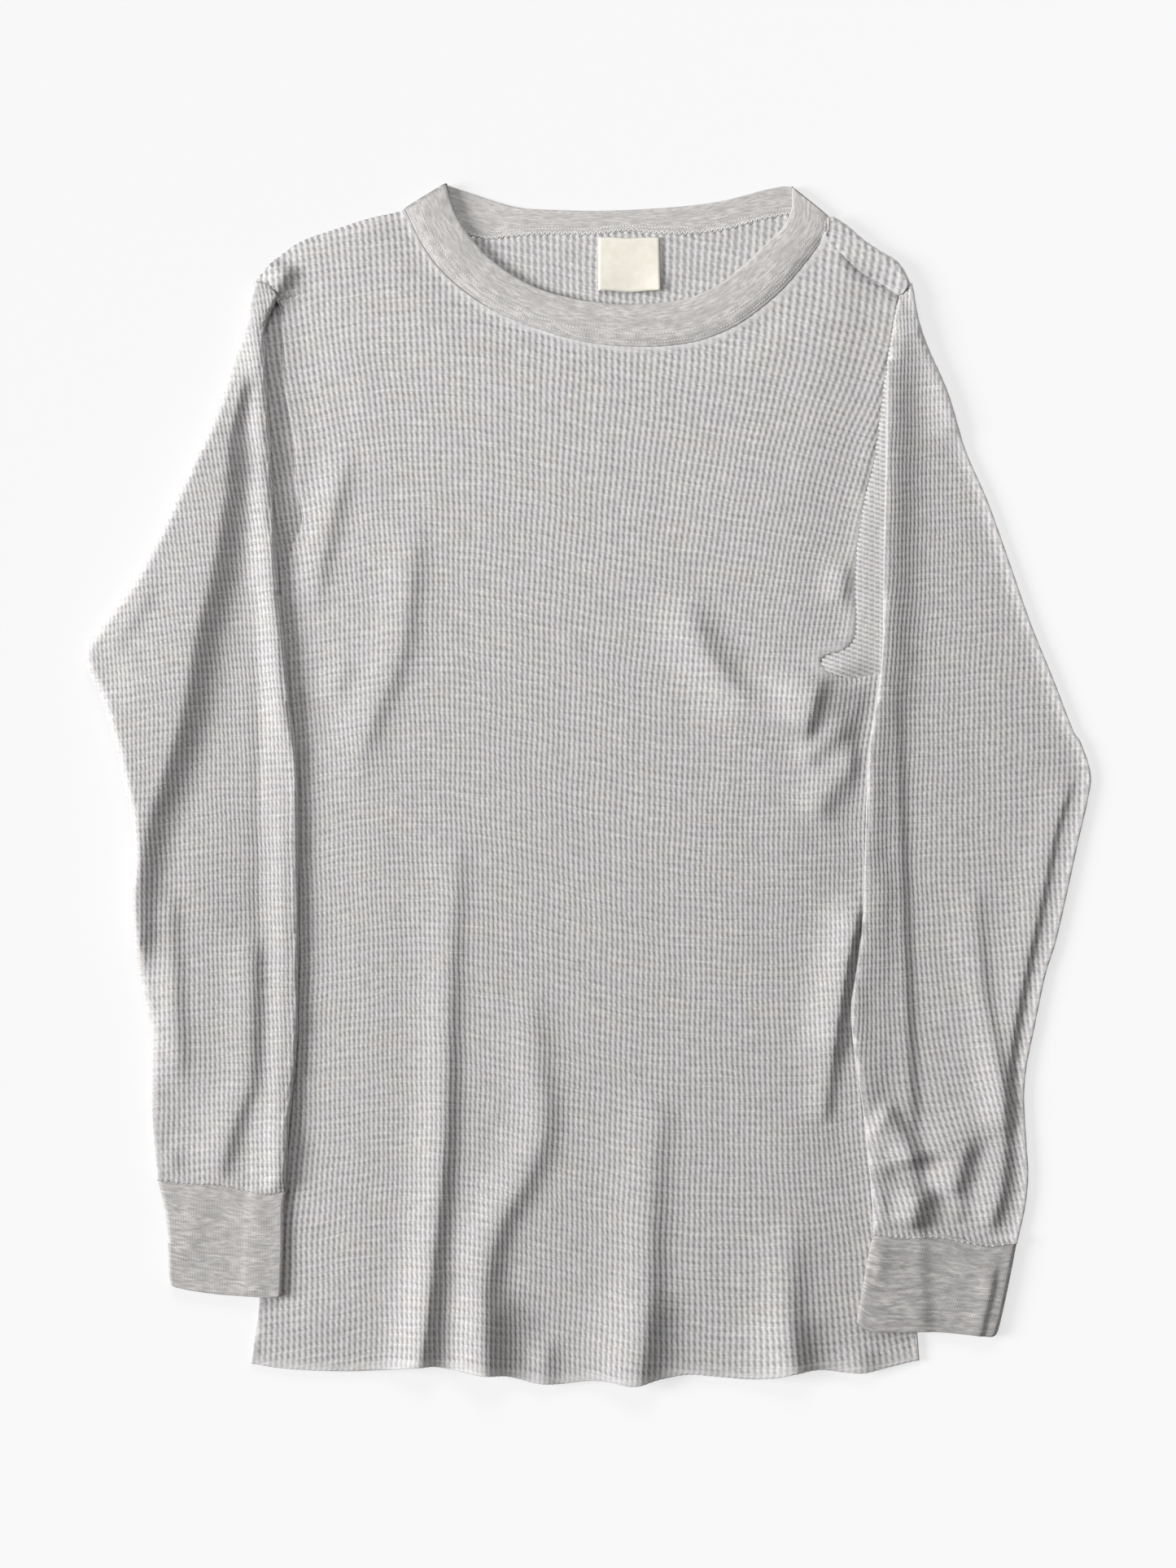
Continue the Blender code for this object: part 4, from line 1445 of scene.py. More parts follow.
BODY_GRAIN = Grain(
    wales=Chart(
        columns=range(-70, 91, 10),
        rows=[
            (370, (-300, -262, -224, -186, -148, -110, -70, -30, 10, 52, 96, 142, 190, 240, 290, 340, 390)),
            (310, (-290, -252, -215, -178, -142, -105, -68, -30, 9, 50, 92, 137, 184, 232, 280, 328, 376)),
            (251, (-278, -242, -207, -172, -138, -103, -67, -30, 8, 47, 87, 129, 173, 217, 261, 305, 349)),
            (193, (-259, -227, -195, -163, -131, -99, -65, -31, 5, 41, 78, 114, 150, 187, 224, 261, 298)),
            (126, (-241, -213, -185, -156, -127, -97, -66, -33.5, 0, 34, 68, 101.5, 134, 165, 196, 227, 258)),
            (59, (-234, -207, -180, -153, -125, -96, -66, -35, -3, 29, 62, 94, 124, 153, 182, 211, 240)),
            (-8, (-229, -203, -177, -150, -123, -94.5, -65.5, -35.5, -5, 27, 59, 90, 120, 147, 173, 199, 225)),
            (-75, (-228, -202, -175.5, -148, -121, -93, -64, -35, -4, 27, 58, 89, 118.5, 146, 171.5, 197, 223)),
            (-143, (-232, -204, -176, -148, -120, -92, -63, -34, -4, 27, 58, 89, 120, 148, 174, 200, 226)),
            (-210, (-239, -209, -179, -149, -120, -92, -63, -34.5, -5, 26, 58, 90, 122, 152, 182, 212, 242)),
            (-277, (-248, -217, -185, -152, -121, -92, -64, -36, -6, 24.5, 57, 91, 125.5, 159, 192, 226, 260)),
            (-370, (-250, -218, -186, -153, -121, -92, -64, -36, -7, 24, 57, 93, 131, 170, 210, 250, 290)),
        ],
    ),
    drift=Chart(
        columns=range(-228, 229, 38),
        rows=[
            (370, (-9, 0, 6.6, 11.7, 11, 4.5, -4.5, -12, -20, -28, -40, -54, -68)),
            (170, (-9, 0, 6.6, 11.7, 11, 4.5, -4.5, -12, -19, -27, -37, -48, -60)),
            (60, (-9, 0, 6.6, 11.7, 11, 4.5, -4.5, -12.5, -16, -18, -17, -12, -7)),
            (-370, (-9, 0, 6.6, 11.7, 11, 4.5, -4.5, -12.5, -16, -16, -12.8, -7, -1)),
        ],
    ),
)

FRONT_FOLDS = [
    # slack that runs down from the chest on the right side
    Fold([(-166, 93), (-159, 131), (-151, 165), (-141, 208)], 2.6, reach=12, steep=7, fade=40),
    Fold([(-141, -8), (-130, 35), (-113, 78), (-106, 126), (-104, 165)], 2.6, reach=14, steep=8, fade=50),
    Fold([(-153, 42), (-141, 81)], 1.3, reach=10, steep=6),
    # long folds that rise from the hem
    Fold([(-100, -342), (-95.5, -306), (-86, -210), (-83, -114), (-77, -22)], 7.2, 13, 6.5, 0.5, from_hem=True),
    Fold([(-62, -349), (-62.5, -296), (-54, -258), (-40, -234), (-28, -202), (-32, -162), (-38, -114)],
         7.0, 15, 9, 0.8, from_hem=True),
    Fold([(-27, -353), (-25, -322)], 2.2, 9, 7, from_hem=True),
    Fold([(28, -352), (33, -306), (36, -234), (42, -171)], 5.5, 18, 9, 0.8, from_hem=True),
    Fold([(120.5, -347), (117, -315), (119, -250)], 5.0, 14, 9, 0.6, from_hem=True),
    Fold([(160, -347), (162, -330)], 1.6, 10, 8, from_hem=True),
    # cloth gathered wider at the hem
    Fold([(-97, -342), (-92, -306), (-88, -270)], 3.4, reach=16, steep=10, fade=40, from_hem=True),
    Fold([(-57, -349), (-58, -318), (-52, -290)], 5.4, reach=22, steep=15, fade=26, from_hem=True),
    Fold([(31, -352), (34, -318), (38, -290)], 4.0, reach=26, steep=14, fade=26, from_hem=True),
    Fold([(121, -348), (119, -322), (119, -306)], 4.0, reach=24, steep=14, fade=22, from_hem=True),
    # drag lines from the left underarm
    Fold([(118, 46), (102, 44), (86, 53), (72, 72), (59, 95), (50, 118)], 5.4, reach=15, steep=10, end_height=3.2,
         fade=34),
    Fold([(128, -24), (137, -10), (146, 2), (154, 12), (163, 24)], 3.2, reach=12, steep=9, fade=16),
    Fold([(120, 10), (134, 20), (146, 30), (158, 38)], 2.4, reach=8, steep=7, fade=14),
    Fold([(148, 98), (149, 120), (147, 138)], 2.6, reach=10, steep=6),
    # hollow beside the lip at the left underarm
    Fold([(124, 22), (129, 40), (133, 54), (136, 68)], 4.8, reach=26, steep=5.5, fade=14),
    Fold([(127, 20), (133, 40), (137, 54), (140, 68)], 3.8, reach=28, steep=24, fade=18),
]
# roll of slack at the tip of the right shoulder, over the sleeve's seam
SHOULDER_TIP_FOLDS = [
    Fold([(-196, 279), (-190, 284), (-184.5, 290), (-180, 298), (-176.5, 308)], 6.2, reach=14, steep=4.5, fade=8),
]
# slack that drops beside the left sleeve
SLIT_FOLDS = [
    Fold([(141, -178), (144, -158), (147.5, -134), (152.5, -104), (158.5, -76), (162, -58)], 6.8, reach=14, steep=3.2,
         fade=30),
    Fold([(137, -204), (139.5, -182), (144, -160)], 2.4, reach=10, steep=5, fade=14),
]


@dataclass
class Body:
    """Front and back of the body, one over the other."""

    knit: bpy.types.Material
    relief: WaffleRelief = WaffleRelief()
    loft: float = 1.4
    side_fade: float = 46.0
    fold_fade: float = 9.0
    seam_fade: float = 9.0
    neck_fade: float = 30.0
    hem_band: float = 6.0
    armpit: tuple[float, float] = (148, 62)
    armpit_lift: float = 1.6
    shoulder_lift: float = 1.2
    shoulder_gap: float = 3.4  # how far the front sinks below the strip that lies forward of the shoulder
    armhole_lift: float = 0.85
    left_sink: float = 0.8
    lowest: float = KNIT_WALL + 0.7
    strip_seam_level: float = 6.4
    strip_fold_level: float = 9.2

    def clear_of_sides(self, points: Array, fade: float) -> Array:
        """0 where the sleeves and their seams are, rising to 1 towards the middle of the body.

        Args:
            points: the places.
            fade: over how far it rises.

        Returns:
            One part for each place.
        """
        x, y = points.T
        right = smooth_step((x - across_at(RIGHT_LIMIT, y)) / fade)
        left = smooth_step((across_at(LEFT_LIMIT, y) - x) / fade)
        return right * left

    def front_level(self, points: Array) -> Array:
        """Height of the front panel's skin.

        Args:
            points: the places.

        Returns:
            One height for each place.
        """
        shoulders = np.minimum(away(LEFT_SHOULDER, points), away(RIGHT_SHOULDER, points))
        fade = smooth_step(shoulders / self.seam_fade) * smooth_step(away(NECKLINE, points) / self.neck_fade)
        lift = self.loft * self.clear_of_sides(points, self.side_fade)
        lift = lift + folded(FRONT_FOLDS, points) * self.clear_of_sides(points, self.fold_fade)
        lift = lift + self.armpit_lift * swell(np.hypot(*(points - self.armpit).T), 42)
        level = FRONT_LEVEL + np.maximum(lift, -0.2) * fade + self._at_shoulder(points)
        level = level + self._at_armholes(points) + folded(SHOULDER_TIP_FOLDS + SLIT_FOLDS, points)
        return np.maximum(level, self.lowest)

    def _at_shoulder(self, points: Array) -> Array:
        """What the left shoulder adds to the front: a swell, and a gap below the strip forward of it."""
        opening = smooth_step((points[:, 0] - 146) / 10)
        gap = self.shoulder_gap * opening * swell(away(STRIP_EDGE, points), 2.2)
        return self.shoulder_lift * swell(away(LEFT_SHOULDER, points), 8) - gap

    def _at_armholes(self, points: Array) -> Array:
        """What the armholes add to the front: a swell beside each seam, and a dip into the left one."""
        left, right = away(LEFT_ARMHOLE, points), away(RIGHT_ARMHOLE, points)
        nearer = np.minimum(left, right)
        return self.armhole_lift * swell(nearer, 9) * (1 - swell(nearer, 1.8)) - self.left_sink * swell(left, 4.5)

    def relief_amount(self, points: Array) -> Array:
        """How far the waffle's relief is worked at some places: less in the turned hem and at seams.

        Args:
            points: the places.

        Returns:
            One amount, 0 to 1, for each place.
        """
        sides = np.minimum(away(LEFT_SIDE, points), away(RIGHT_SIDE, points))
        amount = mix(0.35, 1.0, smooth_step((away(HEM, points) - 1.0) / self.hem_band))
        amount = amount * mix(0.1, 1.0, smooth_step(away(LEFT_ARMHOLE[4:13], points) / 9))
        amount = amount * mix(0.3, 1.0, smooth_step(away(STRIP_EDGE, points) / 3))
        amount = amount * mix(0.2, 1.0, smooth_step((away(NECKLINE, points) - 2.5) / 2))
        return amount * mix(0.3, 1.0, smooth_step(sides / 4))

    def flattened_relief(self, points: Array) -> Array:
        """How far the relief is worked on the side that the top lies on."""
        return 0.75 * self.relief_amount(points)

    def front(self) -> bpy.types.Object:
        """Builds the front panel: its knitted skin, its inner side and the turn between them.

        Returns:
            The piece.
        """
        outline = Outline([
            (Edge.HEM, HEM), (Edge.SIDE, LEFT_SIDE), (Edge.SEAM, LEFT_ARMHOLE), (Edge.SEAM, LEFT_SHOULDER),
            (Edge.SEAM, beside(NECKLINE, 2.5)[::-1]), (Edge.SHOULDER, RIGHT_SHOULDER),
            (Edge.SEAM, RIGHT_ARMHOLE[::-1]), (Edge.SIDE, RIGHT_SIDE),
        ])
        turns = {Edge.HEM: 0.9, Edge.SIDE: 0.8, Edge.SEAM: 0.35, Edge.SHOULDER: 1.2}
        radii = outline.pull_in(outline.radii(turns))
        cloth = ClothMesh("front_panel_knit")
        sheet = FilledSheet(outline.border, BODY_GRAIN)
        cloth.add_sheet(sheet, self.front_level, self.relief_amount, island=0)
        top = self.front_level(outline.border)
        bottom = top - KNIT_WALL
        amount = self.relief_amount(outline.border)
        cloth.add_roll(outline, radii, top, bottom, BODY_GRAIN, amount, rows=3)
        plain = FilledSheet(outline.border, BODY_GRAIN, is_fine=False)
        low = FRONT_LEVEL - KNIT_WALL
        rim = {tuple(point): height for point, height in zip(outline.border, bottom)}

        def under(points: Array) -> Array:
            """Height of the panel's inner side, which comes up to the skin only at its border."""
            return np.array([rim.get(tuple(point), low) for point in points])

        cloth.add_sheet(plain, under, even(0.0), island=1, faces_up=False)
        piece = self.relief.press(cloth.make(), self.knit)
        register(piece, ["front_panel"])
        return piece

    def back(self) -> bpy.types.Object:
        """Builds the back panel, with the strip of it that wraps forward over the left shoulder.

        Returns:
            The piece.
        """
        fold_inside = beside(LEFT_SHOULDER_FOLD[2:], -2.4)
        outline = Outline([
            (Edge.HEM, HEM), (Edge.SIDE, LEFT_SIDE), (Edge.SEAM, LEFT_ARMHOLE),
            (Edge.SEAM, [LEFT_SHOULDER[0], fold_inside[-1]]),
            (Edge.SEAM, fold_inside[::-1] + BACK_NECKLINE[-2::-1]), (Edge.SHOULDER, RIGHT_SHOULDER),
            (Edge.SEAM, RIGHT_ARMHOLE[::-1]), (Edge.SIDE, RIGHT_SIDE),
        ])
        turns = {Edge.HEM: 0.8, Edge.SIDE: 0.8, Edge.SEAM: 0.5, Edge.SHOULDER: 0.8}
        radii = outline.pull_in(outline.radii(turns))
        cloth = ClothMesh("back_panel_knit")
        cloth.add_sheet(FilledSheet(outline.border, BODY_GRAIN, fine_area=np.array(BACK_WINDOW, dtype=float)),
                        even(KNIT_WALL), even(1.0), island=0)
        count = len(outline.border)
        top, bottom = np.full(count, KNIT_WALL), np.zeros(count)
        cloth.add_roll(outline, radii, top, bottom, BODY_GRAIN, np.full(count, 0.5), rows=3)
        under = FilledSheet(outline.border, BODY_GRAIN)
        cloth.add_sheet(under, even(0.0), self.flattened_relief, island=1, faces_up=False)
        self._add_forward_strip(cloth)
        piece = self.relief.press(cloth.make(), self.knit)
        register(piece, ["back_panel"])
        return piece

    def _strip_level(self, points: Array) -> Array:
        """Height of the strip forward of the left shoulder, which closes down at its neck end.

        Args:
            points: the places.

        Returns:
            One height for each place.
        """
        fold, seam = self.strip_fold_level, self.strip_seam_level
        rise = seam + (fold - seam) * swell(away(LEFT_SHOULDER_FOLD, points, 3.0), 9)
        closing = 1 - smooth_step((points[:, 0] - 142) / 10)
        return rise - closing * swell(away(STRIP_EDGE, points, 3.0), 2.4)

    def _add_forward_strip(self, cloth: ClothMesh) -> None:
        """Adds the strip of the back panel that lies forward of the left shoulder's fold.

        Args:
            cloth: the mesh of the back panel, which it is added to.
        """
        outline = Outline([
            (Edge.FOLD, LEFT_SHOULDER_FOLD[:1:-1]), (Edge.SEAM, [(140, 337), LEFT_SHOULDER[-1]]),
            (Edge.SEAM, STRIP_EDGE[::-1]), (Edge.SEAM, [LEFT_SHOULDER[0], LEFT_SHOULDER_FOLD[-1]]),
        ])
        radii = outline.pull_in(outline.radii({Edge.FOLD: 3.2, Edge.SEAM: 0.5}))
        border = outline.border
        cloth.add_sheet(FilledSheet(border, BODY_GRAIN), self._strip_level, even(1.0), island=2)
        low = np.where(outline.kinds == Edge.FOLD, 0.2, self.strip_seam_level - 1.4)
        low = np.mean([np.roll(low, k) for k in range(-4, 5)], axis=0)
        relief = np.full(len(low), 0.3)
        cloth.add_roll(outline, radii, self._strip_level(border), low, BODY_GRAIN, relief, island=2)

        def under(points: Array) -> Array:
            """Height of the strip's hidden lower side."""
            return low[((points[:, None, :] - border) ** 2).sum(axis=2).argmin(axis=1)]

        plain = FilledSheet(border, BODY_GRAIN, is_fine=False)
        cloth.add_sheet(plain, under, even(0.0), island=3, faces_up=False)


# -------- sleeves

RIGHT_GRAIN = Grain(
    wales=Chart(
        columns=range(-30, 31, 10),
        rows=[
            (330, (-345, -318, -292, -266, -239, -213, -188)),
            (290, (-339, -312, -286, -260, -233, -207, -183)),
            (222, (-327, -301, -275, -249, -222, -197, -172)),
            (165, (-319, -293, -266, -239, -213, -189, -165)),
            (107, (-310, -284, -259, -232, -206.5, -183, -160)),
            (49, (-307, -281, -255, -228, -203, -179, -155)),
            (-8, (-306, -280, -254, -226, -200, -176, -152)),
            (-66, (-307, -280, -253, -225.5, -199, -175, -151)),
            (-123, (-308, -281, -254, -225, -198, -173, -148)),
            (-181, (-309, -282, -255, -225, -197, -171, -146)),
            (-260, (-311, -283, -255, -224.5, -196, -169, -143)),
        ],
    ),
    drift=Chart(columns=(-320, -260, -220, -190, -140), rows=[(330, (-14, -4, 1, 3, 5)), (-260, (-9, -3, 1, 3, 6))]),
    course_pitch=4.75,
)
LEFT_GRAIN = Grain(
    wales=Chart(
        columns=range(-30, 41, 10),
        rows=[
            (330, (158, 180, 203, 229, 260, 292, 324, 356)),
            (232, (158, 180, 202, 228, 261, 293, 325, 357)),
            (165, (156, 179, 203, 230, 263, 295, 327, 359)),
            (107, (153, 177, 201.5, 230, 262.5, 294, 326, 358)),
            (49, (149, 173, 199.5, 229, 261, 292, 323, 354)),
            (-8, (148, 172, 198, 228, 260, 291, 322, 353)),
            (-66, (148, 172, 198, 230, 261, 292, 323, 354)),
            (-123, (149, 173, 201.5, 234, 265, 296, 327, 358)),
            (-181, (144, 175, 211, 244, 273, 303, 333, 363)),
            (-239, (157, 191, 227, 258, 284, 311, 338, 365)),
            (-290, (170, 203, 238, 268, 293, 319, 345, 371)),
        ],
    ),
    drift=Chart(columns=(120, 180, 240, 300, 360), rows=[(330, (-6, -3, 0, 3, 6)), (-290, (-12, -5, 1, 8, 15))]),
    course_pitch=4.75,
)


def over_body(side: Side, body_side: Table, points: Array) -> Array:
    """How far a sleeve or cuff is lifted where it lies on the body."""
    x, y = points.T
    past = side * (across_at(body_side, y) - x) + 12.0
    return OVER_BODY * smooth_step(past / 9.0)


@dataclass
class Sleeve:
    """A sleeve, folded down over the side of the body: a flat tube that opens into the armhole."""

    side: Side
    knit: bpy.types.Material
    grain: Grain
    inner: Table  # folded edge on the body's side, from the cuff up
    outer: Table  # the other edge, from the cuff up
    cuff_seam: Table  # from the smaller to the larger x
    shoulder: Table  # from the inner to the outer edge, over the top
    armhole: Table  # from the underarm up
    body_side: Table
    folds: Sequence[Fold]
    underarm: float
    inner_height: float = 12.0
    ridge_at: float = 6.0
    plateau: float = 6.0
    outer_height: float = 4.4
    inner_reach: float = 8.0
    flank: float = 8.0
    outer_reach: float = 5.0
    inner_turn: float = 2.6
    outer_keep: float = 0.0  # how much of a fold's height is left at the outer edge
    tallest: float = 17.6
    held_from: float = 13.0  # height from which the folds are held back
    least: float = 1.9  # height over the underside where nothing lifts the cloth
    ease: float = 2.2  # how softly the cloth comes down to that
    top_rise: float = 12.0
    top_height: float = 4.4
    strip_level: float = 3.95
    strip_dip: float = 0.3
    strip_fall: float = 0.0  # how far the strip drops from the fold to the seam
    strip_relief: float = 1.0
    strip_grain: AnyGrain = BODY_GRAIN
    strip_tuck: float = 5.0
    strip_top: float = 284.0
    at_armhole: float = 3.75  # height at which the folded edge turns under, beside the armhole
    cuff_turn: float = 3.2  # how far the skin turns down at the cuff
    lip: tuple[float, float] = (151, 69)  # where the left strip turns up at the underarm
    lip_height: float = 2.6
    under_relief: float = 0.8
    relief: WaffleRelief = WaffleRelief()

    def under_level(self, points: Array) -> Array:
        """Height of the sleeve's underside: on the surface, and lifted where it lies on the body."""
        below = smooth_step((self.underarm + 4 - points[:, 1]) / 20)
        return over_body(self.side, self.body_side, points) * below

    def top_level(self, points: Array) -> Array:
        """Height of the sleeve's upper skin.

        Args:
            points: the places.

        Returns:
            One height for each place.
        """
        from_inner, from_outer = away(self.inner, points), away(self.outer, points)
        under = self.under_level(points)
        from_ridge = from_inner - self.ridge_at
        ridge = swell(from_ridge, np.where(from_ridge < 0, self.inner_reach, self.flank))
        level = self.plateau + (self.inner_height - self.plateau) * ridge
        level = level + (self.outer_height - self.plateau) * swell(from_outer, self.outer_reach)
        clear = mix(self.outer_keep, 1.0, smooth_step(from_outer / 5))
        clear = clear * mix(0.35, 1.0, smooth_step(from_inner / 7))
        level = level + folded(self.folds, points) * clear
        over = level - (under + self.least)
        level = under + self.least + 0.5 * (over + np.hypot(over, self.ease))
        spare = self.tallest - self.held_from
        held = self.held_from + spare * np.tanh((level - self.held_from) / spare)
        level = np.where(level > self.held_from, held, level)
        level = mix(cuff_height(under) + 0.9, level, smooth_step(away(self.cuff_seam, points) / 8))
        from_top = away(self.shoulder, points, 3.0)
        return mix(self.top_height, level, smooth_step((from_top + 1.0) / self.top_rise))

    def relief_amount(self, points: Array) -> Array:
        """How far the relief is worked: less at both edges."""
        at_fold = mix(0.5, 1.0, smooth_step(away(self.inner, points) / 4))
        return mix(0.1, 1.0, smooth_step(away(self.outer, points) / 6)) * at_fold

    def build(self) -> bpy.types.Object:
        """Builds the sleeve.

        Returns:
            The piece.
        """
        name = f"{self.side.name.lower()}_sleeve"
        cuff, inner = (Edge.CUFF, self.cuff_seam), (Edge.FOLD, self.inner)
        if self.side is Side.RIGHT:
            shoulder, outer = (Edge.SHOULDER, self.shoulder), (Edge.OUTER, self.outer[::-1])
            outline = Outline([cuff, inner, shoulder, outer])
        else:
            shoulder, inner = (Edge.SHOULDER, self.shoulder[::-1]), (Edge.FOLD, self.inner[::-1])
            outline = Outline([cuff, (Edge.OUTER, self.outer), shoulder, inner])
        turns = {Edge.CUFF: 0.7, Edge.FOLD: self.inner_turn, Edge.SHOULDER: 0.8, Edge.OUTER: 1.0}
        radii = outline.pull_in(outline.radii(turns))
        border = outline.border
        cloth = ClothMesh(f"{name}_knit")
        cloth.add_sheet(FilledSheet(border, self.grain), self.top_level, self.relief_amount, island=0)
        top = self.top_level(border)
        bottom = self.under_level(border)
        is_above = (border[:, 1] > self.underarm) & (outline.kinds == Edge.FOLD)
        rim = np.where(is_above, self.at_armhole, bottom)
        rim = np.where(outline.kinds == Edge.CUFF, top - self.cuff_turn, rim)
        amount = self.relief_amount(border)
        cloth.add_roll(outline, radii, top, rim, self.grain, amount, rows=6)
        self._add_underside(cloth, outline)
        self._add_strip(cloth)
        piece = self.relief.press(cloth.make(), self.knit)
        register(piece, [name])
        return piece

    def _add_underside(self, cloth: ClothMesh, outline: Outline) -> None:
        """Adds the lower half of the tube, which runs up to the back of the armhole.

        Args:
            cloth: the mesh of the sleeve, which it is added to.
            outline: the sleeve's edge, pulled in.
        """
        border, kinds = outline.border, outline.kinds
        low = border[:, 1] <= self.underarm
        cuff, outer = border[kinds == Edge.CUFF], border[kinds == Edge.OUTER]
        shoulder, fold = border[kinds == Edge.SHOULDER], border[(kinds == Edge.FOLD) & low]
        seam = smooth_line(self.armhole, BORDER_STEP)
        seam = seam[seam[:, 1] < shoulder[:, 1].min() - 2]
        if self.side is Side.RIGHT:
            whole = np.vstack([cuff, fold, seam[1:], shoulder, outer])
        else:
            whole = np.vstack([cuff, outer, shoulder, seam[:0:-1], fold])
        cloth.add_sheet(FilledSheet(whole, self.grain), self.under_level, even(self.under_relief), island=1,
                        faces_up=False)

    def _strip_height(self, points: Array) -> Array:
        """Height of the strip between the armhole seam and the folded edge, which dips into the seam.

        Args:
            points: the places.

        Returns:
            One height for each place.
        """
        distance, _, is_right = from_line(smooth_line(self.armhole, LINE_STEP), points)
        out = np.where(is_right == (self.side is Side.LEFT), distance, -distance)
        x, y = (points - self.lip).T
        lip = swell(x, 14) * swell(y, 5)
        dip = self.strip_dip * swell(np.maximum(out, 0), 3.5) - 0.4 * np.clip(out, -3, 0)
        level = self.strip_level + self.lip_height * lip - dip * (1 - lip)
        return level + self.strip_fall * smooth_step(out / 14)

    def _add_strip(self, cloth: ClothMesh) -> None:
        """Adds the strip between the armhole seam and the folded edge, which it runs under.

        Args:
            cloth: the mesh of the sleeve, which it is added to.
        """
        seam = smooth_line(beside(self.armhole, self.side * 2.4), BORDER_STEP)
        seam = seam[(seam[:, 1] > self.underarm - 6) & (seam[:, 1] < self.strip_top)]
        edge = smooth_line(self.inner, BORDER_STEP)
        edge = edge[(edge[:, 1] > self.underarm - 8) & (edge[:, 1] < self.strip_top)]
        edge = edge + (self.side * self.strip_tuck, 0.0)
        gap = self.side * (across_at([tuple(p) for p in edge], seam[:, 1]) - seam[:, 0])
        seam = seam[(gap > 1.5) | (seam[:, 1] < 90)]
        sheet = FilledSheet(np.vstack([seam, edge[::-1]]), self.strip_grain)
        cloth.add_sheet(sheet, self._strip_height, even(self.strip_relief), island=2)


# -------- cuffs


def cuff_height(under: Array) -> Array:
    """Height of a cuff's upper skin over its underside."""
    return CUFF_HEIGHT + under * CUFF_RISE


